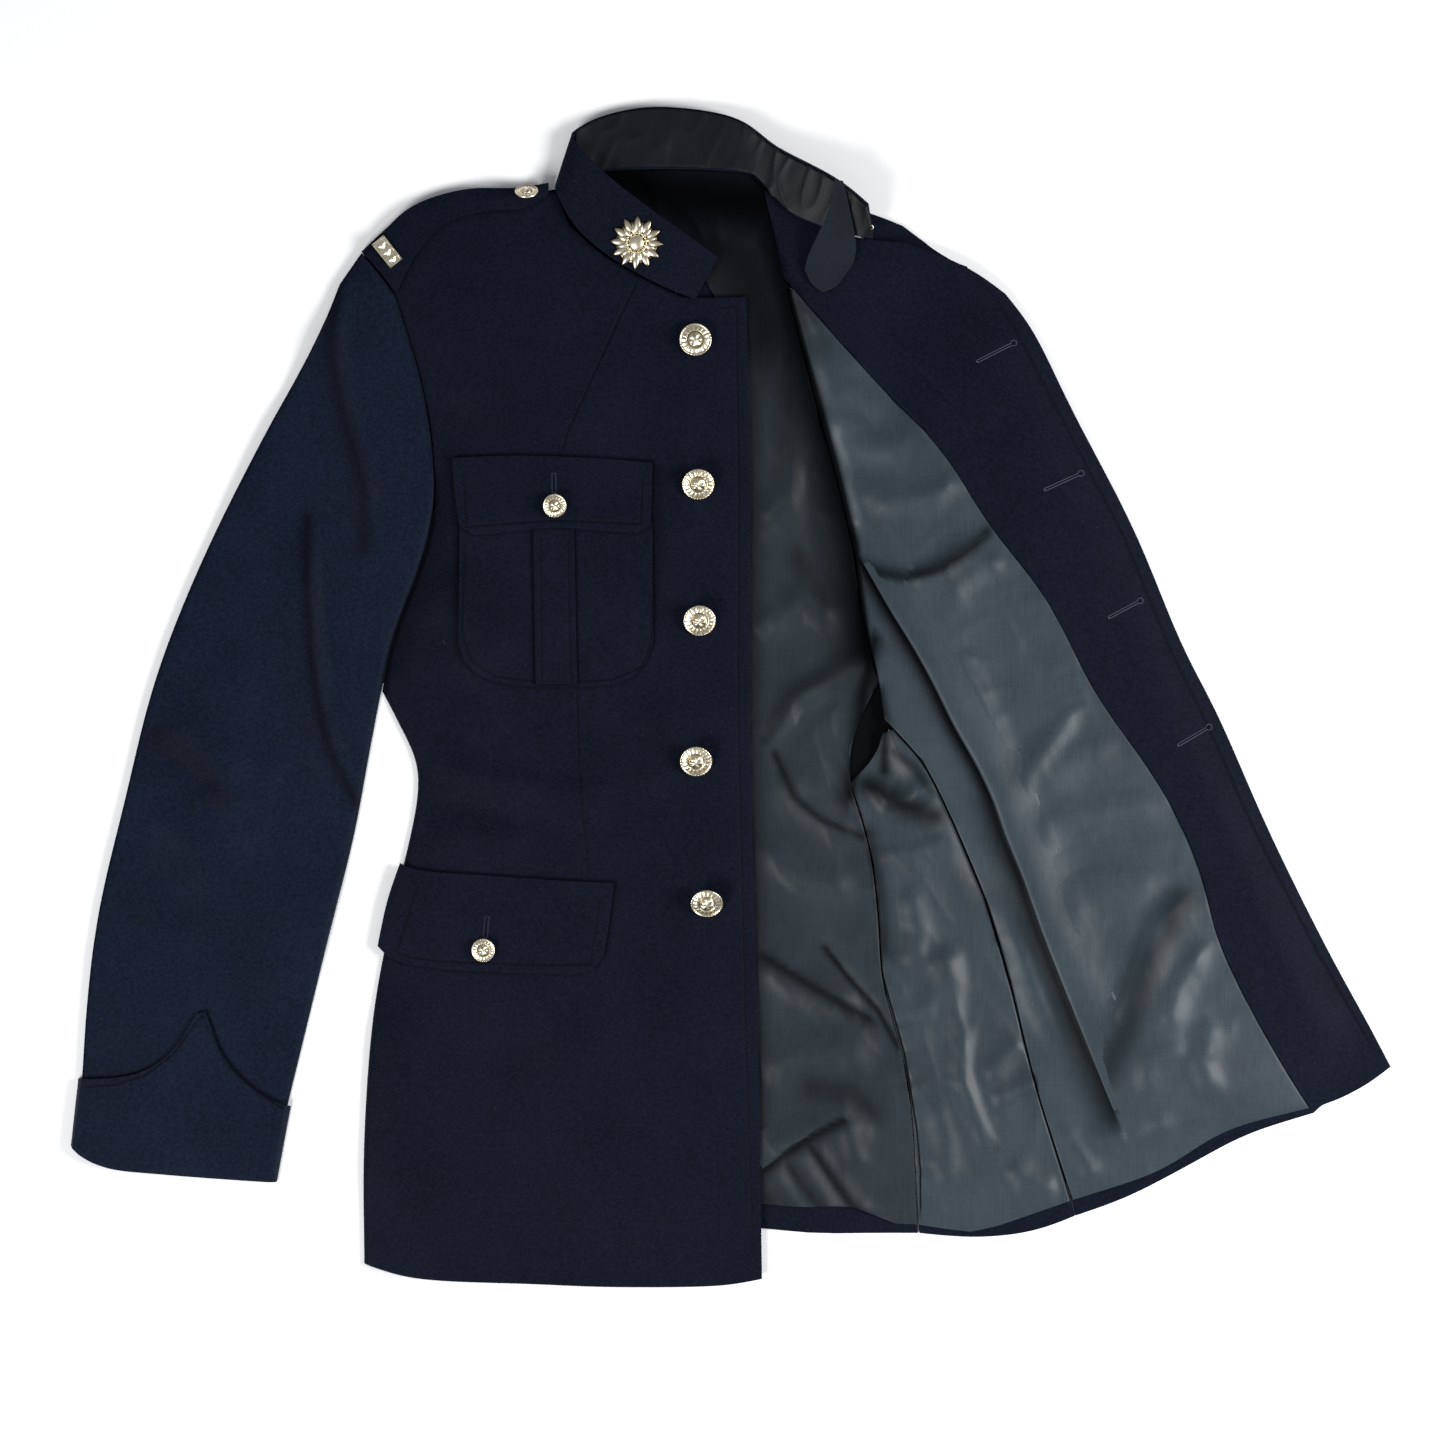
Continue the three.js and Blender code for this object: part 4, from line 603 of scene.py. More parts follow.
def wool(name, seam_count=0, tone_and_painted_light=1.0):
    """Fine navy twill with a soft nap, a little lint, and grooves along its sewn lines, with painted shade in
    the grooves, painted contact shadow and painted shade where the mesh marks it.
    """
    f = Finish(name)
    dark = shaded(srgb(3, 5, 12), tone_and_painted_light)
    light = shaded(srgb(18, 25, 40), tone_and_painted_light)
    cloudy = f.noise(14.0, 4.0, 0.6)
    grain = f.noise(1500.0, 3.0, 0.7)
    mottle = f.noise(420.0, 3.0, 0.7)
    broad = f.math("MULTIPLY", cloudy, 0.17)
    fine = f.math("ADD", f.math("MULTIPLY", mottle, 0.45), f.math("MULTIPLY", grain, 0.2))
    tone = f.ramp(f.math("ADD", broad, fine), [(0.27, dark), (0.57, light)])
    lint = f.noise(620.0, 1.0, 0.3, f.stretch((1, 0.35, 1), 0.7))
    colour = f.mix(f.math("MULTIPLY", f.math("GREATER_THAN", lint, 0.83), 0.2), tone, srgb(80, 84, 98))
    twill = f.add("ShaderNodeTexWave", {
        "Vector": f.place(),
        "Scale": WAVE_PITCH / TWILL_PITCH / DIAGONAL,
        "Distortion": 1.2,
        "Detail": 2.0,
        "Detail Scale": 2.0,
    }, wave_type="BANDS", bands_direction="DIAGONAL").outputs["Fac"]
    height = f.math("ADD", f.math("MULTIPLY", twill, 0.55), f.math("MULTIPLY", grain, 0.8))
    normal = f.bump(height, 0.5, 0.12 * MM)
    if seam_count:
        groove = f.seams(seam_count, 0.9)
        normal = f.bump(f.math("MULTIPLY", groove, -1.0), 0.5, 0.8 * MM, normal)
        # Painted shade: the sewn grooves are darkened.
        colour = f.mix(f.math("MULTIPLY", groove, 0.6), colour, srgb(3, 4, 8))
    # Painted contact shadow beside what lies on the cloth, then painted shade where the mesh marks it.
    colour = f.mix(f.painted_contact_shadow(), colour, srgb(1, 2, 4))
    colour = f.mix(f.stored("painted_shade"), colour, srgb(1, 2, 4))
    f.set(f.shader, "Base Color", colour)
    f.set(f.shader, "Normal", normal)
    f.set(f.shader, "Roughness", 0.6)
    f.set(f.shader, "Specular IOR Level", 0.05)
    f.set(f.shader, "Sheen Weight", 0.025)
    f.set(f.shader, "Sheen Roughness", 0.45)
    f.set(f.shader, "Sheen Tint", srgb(120, 130, 170))
    return f.material


def satin(name, turn, tone_and_painted_light, gloss, seam_count=0):
    """Grey green lining satin, with its fine warp and a soft gloss, and painted shade where the mesh marks it
    and in its sewn grooves, in colour and in gloss.
    """
    f = Finish(name)
    dark = shaded(srgb(34, 44, 50), tone_and_painted_light)
    light = shaded(srgb(52, 64, 71), tone_and_painted_light)
    warp = f.noise(900.0, 2.0, 0.6, f.stretch((1, 0.04, 1), turn))
    weft = f.noise(700.0, 2.0, 0.6, f.stretch((0.05, 1, 1), turn))
    cloudy = f.noise(18.0, 3.0, 0.55)
    threads = f.math("ADD", f.math("MULTIPLY", warp, 0.65), f.math("MULTIPLY", weft, 0.35))
    tone = f.math("ADD", f.math("MULTIPLY", threads, 0.5), f.math("MULTIPLY", cloudy, 0.5))
    painted_shade = f.stored("painted_shade")
    cloth_tone = f.ramp(tone, [(0.32, dark), (0.68, light)])
    # Painted shade: near black where the mesh marks shade.
    colour = f.mix(painted_shade, cloth_tone, srgb(4, 5, 6))
    crush = f.noise(85.0, 3.0, 0.5, f.stretch((1, 0.6, 1), turn + 0.6))
    normal = f.bump(crush, 0.18, 1.2 * MM, f.bump(threads, 0.2, 0.05 * MM))
    f.set(f.shader, "Specular IOR Level", gloss)
    if seam_count:
        groove = f.seams(seam_count, 1.0)
        # Painted shade in the sewn grooves; then the gloss is taken out of all painted shade.
        colour = f.mix(f.math("MULTIPLY", groove, 0.9), colour, srgb(3, 4, 5))
        normal = f.bump(f.math("MULTIPLY", groove, -1.0), 0.6, 0.9 * MM, normal)
        lit = f.math("SUBTRACT", 1.0, f.math("MAXIMUM", painted_shade, groove))
        f.set(f.shader, "Specular IOR Level", f.math("MULTIPLY", lit, gloss))
    f.set(f.shader, "Base Color", colour)
    f.set(f.shader, "Normal", normal)
    f.set(f.shader, "Roughness", 0.46)
    return f.material


def felt(name):
    """Dark undercollar felt, matt and fuzzy."""
    f = Finish(name)
    fuzz = f.noise(900.0, 5.0, 0.75)
    f.set(f.shader, "Base Color", f.ramp(fuzz, [(0.3, srgb(13, 18, 24)), (0.75, srgb(28, 36, 44))]))
    f.set(f.shader, "Normal", f.bump(fuzz, 0.7, 0.3 * MM))
    f.set(f.shader, "Roughness", 0.95)
    f.set(f.shader, "Specular IOR Level", 0.15)
    f.set(f.shader, "Sheen Weight", 0.08)
    return f.material


def gilt(name):
    """Polished pale gilt with fine scuffs, and painted shade in its grooves and hollows."""
    f = Finish(name)
    scuffs = f.noise(1400.0, 3.0, 0.6)
    tarnish = f.noise(240.0, 3.0, 0.6)
    polished = f.ramp(tarnish, [(0.3, srgb(222, 208, 172)), (0.7, srgb(250, 242, 220))])
    # Painted shade: darker, browner gilt where the mesh marks grooves and hollows.
    f.set(f.shader, "Base Color", f.mix(f.stored("painted_shade"), polished, srgb(104, 90, 64)))
    rough = f.math("ADD", 0.24, f.math("MULTIPLY", scuffs, 0.16))
    f.set(f.shader, "Roughness", rough)
    f.set(f.shader, "Metallic", 1.0)
    f.set(f.shader, "Normal", f.bump(scuffs, 0.15, 0.05 * MM))
    return f.material


def thread_finish(name, colour, roughness):
    """Matt twisted thread."""
    f = Finish(name)
    twist = f.noise(2600.0, 2.0, 0.6)
    f.set(f.shader, "Base Color", f.ramp(twist, [(0.3, colour), (0.7, shaded(colour, 1.5))]))
    f.set(f.shader, "Roughness", roughness)
    f.set(f.shader, "Specular IOR Level", 0.12)
    return f.material


# Lit and shaded copies: the sleeve and cuff wool is painted lighter, and the back, fold, side, collar and
# sleeve linings are painted darker and less glossy as painted shade; the sleeve lining is near black.
WOOL = wool("navy_wool")
WOOL_SEWN = wool("navy_wool_sewn", 3)
WOOL_SLEEVE_PAINTED_LIGHT = wool("navy_wool_sleeve_painted_light", 0, 1.6)
WOOL_CUFF_PAINTED_LIGHT = wool("navy_wool_cuff_painted_light", 1, 1.6)
SATIN = satin("lining_satin", 0.0, 0.94, 0.34, 2)
SATIN_BACK_PAINTED_SHADE = satin("back_lining_satin_painted_shade", 0.15, 0.56, 0.24, 2)
SATIN_SIDE_PAINTED_SHADE = satin("side_lining_satin_painted_shade", -0.3, 0.82, 0.34, 2)
SATIN_PLAIN = satin("pleat_satin", 0.0, 0.94, 0.34)
SATIN_BACK_PLAIN = satin("fold_satin_painted_shade", 0.15, 0.56, 0.24)
SATIN_COLLAR_PAINTED_SHADE = satin("collar_satin_painted_shade", 0.8, 0.16, 0.15)
SATIN_SLEEVE_PAINTED_SHADE = satin("sleeve_lining_painted_shade", 0.4, 0.05, 0.05)
FELT = felt("collar_felt")
GILT = gilt("gilt")
NAVY_THREAD = thread_finish("navy_thread", srgb(18, 22, 34), 0.6)
# Painted highlight: the keyhole buttonholes' thread is paler, for the light that its whipped edges catch.
HOLE_THREAD = thread_finish("buttonhole_thread", srgb(64, 70, 86), 0.5)
FLAP_HOLE_THREAD = thread_finish("flap_buttonhole_thread", srgb(30, 35, 49), 0.5)
# Near black, painted shade: it fills the buttonholes' slits and the gaps under the seams.
SLIT = thread_finish("painted_shade_for_slits_and_gaps", srgb(2, 3, 5), 0.9)


# The round on the cut edges, in millimetres
WOOL_RIM = 0.7
PATCH_RIM = 0.55
LINING_RIM = 0.4


def finish_piece(piece, node, rim, material):
    """Rounds a cloth piece's rims, gives it its material and puts it in its node's place."""
    soften_rims(piece, rim)
    piece.data.materials.clear()
    piece.data.materials.append(material)
    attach(piece, "root")
    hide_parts(node)


# Right front, with its darts and topstitching
def front_relief(xy):
    broad = 0.5 * rumple(xy, 90, 1.6, 1.4, 3.0) + 0.22 * rumple(xy, 34, 1.8, 1.2, 8.0)
    return 1.5 * relief(xy, FRONT_CREASES) + broad


tops = {}  # the upper surface of each cloth that something lies on
NECK_DART = [(638, 281), (617, 323), (569, 430), (560, 456)]
WAIST_DART = [(577, 690), (579, 765), (583, 819), (587, 854), (588, 880)]
FRONT_STITCH = [
    (698, 312), (736, 306), (738.5, 500), (737.5, 700), (741, 860), (746, 1060), (751, 1200), (752, 1268),
]

front = cloth("front_right", 3)
push(front, front_relief)
mark_seams(front, [FRONT_STITCH, NECK_DART, WAIST_DART])
mark_painted_shade(front, FRONT_PAINTED_SHADE_ROWS)
tops["front"] = surface(front)
finish_piece(front, "front_right", 0.8, WOOL_SEWN)

FACING_BEND = [(885, 330), (920, 368), (957, 406)]  # where the left side rises over its own sleeve

STRAP_DIP = 3.5 * MM  # the left strap's end dips behind the shoulder

# The back, the left strap and the left shell, which show only at their edges
for node in ("back_right", "back_left", "strap_left"):
    plain = cloth(node, 1)
    if node == "strap_left":
        co = coordinates(plain.data)
        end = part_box(node)[1].x - 30 * MM
        co[:, 1] -= STRAP_DIP * smooth((co[:, 0] - end) / (25 * MM))
        set_coordinates(plain.data, co)
    finish_piece(plain, node, WOOL_RIM, WOOL)


def shell_relief(xy):
    return np.minimum(0.3 * rumple(xy, 60, 1.4, 0.8, 5.0), 0)


for node in ("front_left", "side_left"):
    plain = cloth(node, 2)
    if node == "front_left":
        smooth_heights(plain, FACING_BEND, 45, 15)
    push(plain, shell_relief)
    finish_piece(plain, node, WOOL_RIM, WOOL)


# Facing of the left front
def facing_relief(xy):
    return np.maximum(relief(xy, FACING_CREASES) + 0.35 * rumple(xy, 50, 1.5, 0.9, 2.0), -0.35)


FACING_STITCH = [
    (826, 193), (868, 236), (900, 240), (932, 252), (965, 266), (990, 292), (1014, 329), (1060, 418),
    (1120, 532), (1170, 652), (1202, 716), (1256, 836), (1316, 952), (1366, 1040), (1378, 1062),
]
facing = cloth("facing_left", 3)
smooth_heights(facing, FACING_BEND, 45, 60)
push(facing, facing_relief)
mark_seams(facing, [FACING_STITCH])
tops["facing"] = surface(facing)
finish_piece(facing, "facing_left", 0.6, WOOL_SEWN)


# The linings, crushed all over. They stand up along the line where the front folds off the back
SOFT_SHARE = 1.45
SHARP_SHARE = 0.85
REAR_SEAM = [
    (848, 776), (853.5, 794), (862, 819), (873, 862), (878, 916), (882, 974), (896, 1024), (904, 1053),
    (916, 1125), (920, 1168), (920, 1222),
]
SIDE_SEAM = [
    (883, 720), (922, 761), (952, 822), (986, 903), (1009, 980), (1035, 1085), (1075, 1216), (1078, 1230),
]
VALLEY_SEAM = [
    (757, 179), (765, 191), (768, 210), (777, 250), (788, 289), (796, 330), (812, 390), (833, 470),
    (852, 550), (859, 592), (875, 668), (879, 683),
]


def puckers(xy, path, height, reach, seed):
    """Small gathers across a sewn line, in millimetres."""
    distance, along = along_path(xy, path)
    ripple = np.array([noise.noise(Vector((a * 46, d / 26, seed))) for a, d in zip(along, distance)])
    return height * np.clip(ripple + 0.25, 0, 1) * 2 * np.exp(-np.abs(distance) / reach)


def lining_relief(xy, soft, sharp, crushed):
    made = SOFT_SHARE * relief(xy, soft) + SHARP_SHARE * relief(xy, sharp, sharp=True)
    made += relief(xy, [VALLEY_RIDGE]) + puckers(xy, REAR_SEAM, 0.9, 9, 61.0)
    return np.maximum(made + crushed, -0.3)


def back_lining_relief(xy):
    shown = np.maximum(smooth((xy[:, 0] / MM + 2) / 14), smooth((xy[:, 1] / MM - 292) / 20))
    crushed = 0.5 * ridged(xy, 22, 2.6, 2.2, 11.0) + 0.15 * ridged(xy, 10, 2.2, 0.7, 17.0)
    return lining_relief(xy, BACK_LINING_SOFT, BACK_LINING_SHARP, crushed) * shown


def side_lining_relief(xy):
    crushed = 0.5 * ridged(xy, 20, 2.6, 1.9, 21.0) + 0.15 * ridged(xy, 10, 2.0, 0.3, 29.0)
    return lining_relief(xy, SIDE_LINING_SOFT, SIDE_LINING_SHARP, crushed)


def front_lining_relief(xy):
    crushed = 0.4 * ridged(xy, 26, 2.8, 0.5, 31.0) + 0.12 * ridged(xy, 11, 2.2, 2.0, 37.0)
    distance, along = along_path(xy, PLEAT_LINE)
    step = PLEAT_STEP * np.interp(along, LIP_SHAPE[:, 0], LIP_SHAPE[:, 2])
    step *= smooth((distance + 1) / 5) * np.exp(-((np.maximum(distance - 4, 0) / 20) ** 2))
    made = lining_relief(xy, FRONT_LINING_SOFT, FRONT_LINING_SHARP, crushed)
    calm = smooth((np.abs(distance - 5) - 12) / 14)
    return made * (0.25 + 0.75 * calm) + step


LININGS = {
    "lining_back": (back_lining_relief, [REAR_SEAM, VALLEY_SEAM], SATIN_BACK_PAINTED_SHADE),
    "lining_side_left": (side_lining_relief, [REAR_SEAM, SIDE_SEAM], SATIN_SIDE_PAINTED_SHADE),
    "lining_front_left": (front_lining_relief, [SIDE_SEAM, VALLEY_SEAM], SATIN),
}
for node, (height, seams, material) in LININGS.items():
    lining = cloth(node, 3)
    if node == "lining_front_left":
        smooth_heights(lining, PLEAT_LINE, 30, 60)
    push(lining, height)
    mark_painted_shade(lining, PAINTED_SHADE_ROWS)
    mark_seams(lining, seams)
    tops[node] = surface(lining)
    finish_piece(lining, node, LINING_RIM, material)

SLEEVE_MOUTH_SPREAD = (1.7, 1.35)  # the sleeve's lining runs on under its neighbours
sleeve_lining = cloth("sleeve_left_lining", 2)
spread = coordinates(sleeve_lining.data)
spread[:, :2] = spread[:, :2].mean(0) + (spread[:, :2] - spread[:, :2].mean(0)) * SLEEVE_MOUTH_SPREAD
set_coordinates(sleeve_lining.data, spread)
finish_piece(sleeve_lining, "sleeve_left_lining", 0.3, SATIN_SLEEVE_PAINTED_SHADE)


# Sleeves and cuffs
def sleeve_relief(xy):
    broad = 0.45 * rumple(xy, 70, 1.8, 1.1, 41.0) + 0.2 * rumple(xy, 30, 1.5, 1.1, 47.0)
    return 1.7 * relief(xy, SLEEVE_CREASES) + broad


sleeve = cloth("sleeve_right_top", 3)
push(sleeve, sleeve_relief)
mark_painted_shade(sleeve, SLEEVE_PAINTED_SHADE_ROWS)
tops["sleeve"] = surface(sleeve)
finish_piece(sleeve, "sleeve_right_top", WOOL_RIM, WOOL_SLEEVE_PAINTED_LIGHT)
for node in ("sleeve_right_under", "sleeve_left_under", "sleeve_left_top", "cuff_left"):
    plain = cloth(node, 1 if "under" in node else 2)
    finish_piece(plain, node, WOOL_RIM, WOOL)

CUFF_STITCH = [
    (82, 1086), (118, 1083), (148, 1073), (175, 1053), (193, 1027), (204, 1014), (214, 1035), (226, 1061),
    (246, 1080), (268, 1097), (288, 1109),
]
cuff = cloth("cuff_right", 2)
push(cuff, sleeve_relief)
rest_on(cuff, tops["sleeve"], LAYER_GAP, 2.0)
mark_seams(cuff, [CUFF_STITCH])
tops["cuff"] = surface(cuff)
finish_piece(cuff, "cuff_right", WOOL_RIM, WOOL_CUFF_PAINTED_LIGHT)

# Pockets, flaps and strap on the right side
POCKET_STITCH = [
    (466, 530), (463.5, 590), (463, 634), (472, 660), (497, 676), (537, 681), (580, 681), (614, 679),
    (642, 666), (651, 640), (652, 560), (653, 530),
]
PLEAT_STITCHES = [[(541, 531), (542, 687)], [(568, 531), (571, 687)]]
CHEST_FLAP_STITCH = [(463, 467), (467, 527), (555, 520.5), (640, 524), (643, 470)]
CHEST_FLAP_TOP_STITCH = [(453, 464), (500, 463), (560, 462.5), (610, 464), (651, 466)]
HIP_FLAP_STITCH = [
    (420, 880), (397, 950), (410, 956), (440, 960), (540, 964), (590, 963), (600, 900), (601, 890),
]
STRAP_STITCH = [(409, 288), (427, 252), (455, 222), (495, 212), (540, 210), (576, 198)]
overlays = {
    "chest_pocket": (tops["front"], 1.4, [POCKET_STITCH]),
    "chest_pleat": (None, 1.4, PLEAT_STITCHES),
    "chest_flap": (tops["front"], 2.0, [CHEST_FLAP_STITCH]),
    "hip_flap": (tops["front"], 2.0, [HIP_FLAP_STITCH]),
}
# Ends that run on: the axis, the corner of the CAD box that start is measured from (0 low, 1 high), and
# start, run and shift in millimetres. The pleat runs up under its flap, the hip flap past the side
RUN_ON = {"chest_pleat": (1, 1, -8, 6, 6.5), "hip_flap": (0, 0, 42, -36, -4.5)}
PLEAT_GAP = 0.1
CHEST_FLAP_EDGE = [(480, 527), (630, 527)]
sewn = {}


def stretch_end(piece, axis, start, run, shift):
    """Moves one end of a piece along an axis, from nothing at start to the whole shift after run."""
    co = coordinates(piece.data)
    co[:, axis] += shift * smooth((co[:, axis] - start) / run)
    set_coordinates(piece.data, co)


for node, (base, thick, paths) in overlays.items():
    piece = cloth(node, 3)
    if node in RUN_ON:
        axis, corner, start, run, shift = RUN_ON[node]
        stretch_end(piece, axis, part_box(node)[corner][axis] + start * MM, run * MM, shift * MM)
    push(piece, front_relief)
    rest_on(piece, base or tops["chest_pocket"], LAYER_GAP, thick)
    if node == "chest_flap":
        rest_on(piece, tops["chest_pocket"], LAYER_GAP, thick)
        rest_on(piece, tops["chest_pleat"], PLEAT_GAP, thick)
        smooth_heights(piece, CHEST_FLAP_EDGE, 30, 12)
    sewn[node] = piece
    mark_seams(piece, paths)
    tops[node] = surface(piece)
    finish_piece(piece, node, PATCH_RIM, WOOL_SEWN)

strap = cloth("strap_right", 3)
rest_on(strap, tops["front"], LAYER_GAP, 1.6)
mark_seams(strap, [STRAP_STITCH])
tops["strap"] = surface(strap)
finish_piece(strap, "strap_right", PATCH_RIM, WOOL_SEWN)

# Collar
collar = cloth("collar", 3)
tops["collar"] = surface(collar)
finish_piece(collar, "collar", WOOL_RIM, WOOL)
collar_lining = cloth("collar_lining", 3)


def collar_crush(piece):
    """Small gathers along the collar lining, out from its face."""
    mesh = piece.data
    co, out = coordinates(mesh), normals(mesh)
    lift = 0.8 * ridged(co[:, :2], 15, 2.8, 1.2, 51.0) + 0.5 * rumple(co[:, :2], 14, 2.2, 1.3, 57.0)
    outer = np.clip(np.maximum(out[:, 2], -out[:, 1]) + 0.3, 0, 1)
    co += out * (lift * outer * MM)[:, None]
    set_coordinates(mesh, co)


collar_crush(collar_lining)
finish_piece(collar_lining, "collar_lining", LINING_RIM, SATIN_COLLAR_PAINTED_SHADE)
tab = cloth("collar_tab", 3)
tops["tab"] = surface(tab)
finish_piece(tab, "collar_tab", 0.5, FELT)


CONTACT_SHADOW_REACH = 6 * MM


def mark_painted_contact_shadow(piece, names):
    """Stores how near each point lies to the pieces that lie on it, 0 to 1, for the finish to paint contact
    shadow.
    """
    values = np.zeros(len(piece.data.vertices), np.float32)
    for i, vertex in enumerate(piece.data.vertices):
        for name in names:
            distance = tops[name].find_nearest(vertex.co, CONTACT_SHADOW_REACH)[3]
            if distance is not None:
                values[i] = max(values[i], 1 - distance / CONTACT_SHADOW_REACH)
    piece.data.attributes.new("near", "FLOAT", "POINT").data.foreach_set("value", values)


# Painted contact shadow: these pieces are darkened beside what lies on them.
mark_painted_contact_shadow(front, ["sleeve", "chest_pocket", "chest_flap", "hip_flap", "strap", "collar"])
mark_painted_contact_shadow(sleeve, ["front", "cuff", "strap"])
mark_painted_contact_shadow(sewn["chest_pocket"], ["chest_pleat", "chest_flap"])
mark_painted_contact_shadow(sewn["chest_pleat"], ["chest_flap"])
mark_painted_contact_shadow(facing, ["tab"])


# Topstitching, one small raised stitch after another
def path_points(path, spacing):
    """Places along a path of pixels at a steady spacing in millimetres, with their directions."""
    points, runs, starts = measured(path)
    made = []
    for at in np.arange(spacing * MM / 2, starts[-1], spacing * MM):
        i = min(int(np.searchsorted(starts, at, side="right")) - 1, len(runs) - 1)
        step = (points[i + 1] - points[i]) / runs[i]
        made.append((points[i] + step * (at - starts[i]), step))
    return made


STITCH_PITCH = 2.6  # in millimetres
STITCH_LENGTH = 1.9 * MM
STITCH_WIDTH = 0.42 * MM
STITCH_RISE = 0.16 * MM


def stitches(name, base, path):
    """A row of stitches on a cloth's face: each is a small eight-sided bead, long in its direction."""
    bm = bmesh.new()
    for spot, step in path_points(path, STITCH_PITCH):
        ends = [spot - step * STITCH_LENGTH / 2, spot + step * STITCH_LENGTH / 2]
        heights = [height_on(base, *p) for p in (ends[0], spot, ends[1])]
        if None in heights:
            continue
        side = np.array([-step[1], step[0]]) * STITCH_WIDTH / 2
        low = [(*ends[0], heights[0]), (*ends[1], heights[2])]
        ring = [
            (*(spot + side), heights[1]),
            (*spot, heights[1] + STITCH_RISE),
            (*(spot - side), heights[1]),
            (*spot, heights[1] - STITCH_RISE),
        ]
        a, b = [bm.verts.new(p) for p in low]
        middle = [bm.verts.new(p) for p in ring]
        for i in range(4):
            bm.faces.new((a, middle[(i + 1) % 4], middle[i]))
            bm.faces.new((b, middle[i], middle[(i + 1) % 4]))
    added_piece(name, bm, [NAVY_THREAD])


STITCH_ROWS = {
    "front_stitching": ("front", FRONT_STITCH),
    "facing_stitching": ("facing", FACING_STITCH),
    "chest_pocket_stitching": ("chest_pocket", POCKET_STITCH),
    "chest_pleat_stitching_1": ("chest_pleat", PLEAT_STITCHES[0]),
    "chest_pleat_stitching_2": ("chest_pleat", PLEAT_STITCHES[1]),
    "chest_flap_stitching": ("chest_flap", CHEST_FLAP_STITCH),
    "chest_flap_top_stitching": ("chest_flap", CHEST_FLAP_TOP_STITCH),
    "hip_flap_stitching": ("hip_flap", HIP_FLAP_STITCH),
    "strap_stitching": ("strap", STRAP_STITCH),
}
for name, (base, path) in STITCH_ROWS.items():
    stitches(name, tops[base], path)


def loft(bm, rings, close=True):
    """Joins rings of points with faces and caps the two ends."""
    made = [[bm.verts.new(p) for p in ring] for ring in rings]
    count = len(made[0])
    for a, b in zip(made, made[1:]):
        for i in range(count):
            bm.faces.new((a[i], a[(i + 1) % count], b[(i + 1) % count], b[i]))
    if close:
        bm.faces.new(made[0][::-1])
        bm.faces.new(made[-1])


# The pleat's edge: a rounded fold whose lip hangs over the cloth beside it.
# Across: the distance from the pleat's line, and the height over the lining, both in millimetres
LIP = [
    (34, -0.7), (28, -0.2), (22, 0.12), (16, 0.45), (11, 0.8), (6.5, 1.1), (3, 1.1), (0.5, 0.7), (-1.2, -0.2),
    (-1.5, -1.1), (0, -1.9), (3, -2.3), (7, -2.5), (11, -2.2), (16, -1.6), (22, -1.6), (28, -1.6),
]
LIP_STATIONS = 150
LINE_ROUNDS = 30
LEVEL_ROUNDS = 6
LIP_FEET = 5  # the lip stands on the cloth at least this far from its line, in millimetres
LIP_SINK = 0.5  # and sinks this much into it where it dies out


def pleat_lip(name, tree, path, shape, material):
    """A rounded fold along a path; shape says how far it reaches and how high it stands."""
    points, _, starts = measured(path)
    at = np.linspace(0, starts[-1], LIP_STATIONS)
    line = np.stack([np.interp(at, starts, points[:, k]) for k in (0, 1)], axis=1)
    for _ in range(LINE_ROUNDS):
        line[1:-1] = (line[:-2] + 2 * line[1:-1] + line[2:]) / 4
    along = np.gradient(line, axis=0)
    along /= np.linalg.norm(along, axis=1)[:, None]
    share = np.linspace(0, 1, LIP_STATIONS)
    reach = np.interp(share, shape[:, 0], shape[:, 1])
    rise = np.interp(share, shape[:, 0], shape[:, 2])
    rings = []
    for spot, step, over, high in zip(line, along, reach, rise):
        right = np.array([-step[1], step[0]])
        ring = []
        for across, height in LIP:
            d = across if across > 0 else across * over
            under = height_on(tree, *(spot + right * max(d, LIP_FEET) * MM)) or 0
            x, y = spot + right * d * MM
            ring.append((x, y, under + (height * high - LIP_SINK * (1 - high)) * MM))
        rings.append(ring[::-1])
    levels = np.array(rings)
    for _ in range(LEVEL_ROUNDS):
        levels[1:-1, :, 2] = (levels[:-2, :, 2] + 2 * levels[1:-1, :, 2] + levels[2:, :, 2]) / 4
    bm = bmesh.new()
    loft(bm, levels)
    bmesh.ops.recalc_face_normals(bm, faces=bm.faces)
    added_piece(name, bm, [material])


pleat_lip("front_lining_pleat", tops["lining_front_left"], PLEAT_LINE, LIP_SHAPE, SATIN_PLAIN)
pleat_lip("back_lining_fold", tops["lining_back"], BACK_FOLD, BACK_FOLD_SHAPE, SATIN_BACK_PLAIN)


# Buttonholes: a slit between two rows of close whipped thread
def bar(bm, start, end, radius, sides=5):
    """A short round bar between two points."""
    start, end = Vector(start), Vector(end)
    turn = (end - start).to_track_quat("Z", "Y").to_matrix()
    circle = [turn @ Vector((radius * math.cos(a), radius * math.sin(a), 0)) for a in
              (2 * math.pi * k / sides for k in range(sides))]
    loft(bm, [[start + p for p in circle], [end + p for p in circle]])


WHIP_PITCH = 0.62 * MM
WHIP_RADIUS = 0.3 * MM
END_RADIUS = 0.4 * MM
SLIT_HALF = 0.55 * MM
SLIT_RUNGS = 9
EYELET_STITCHES = 16


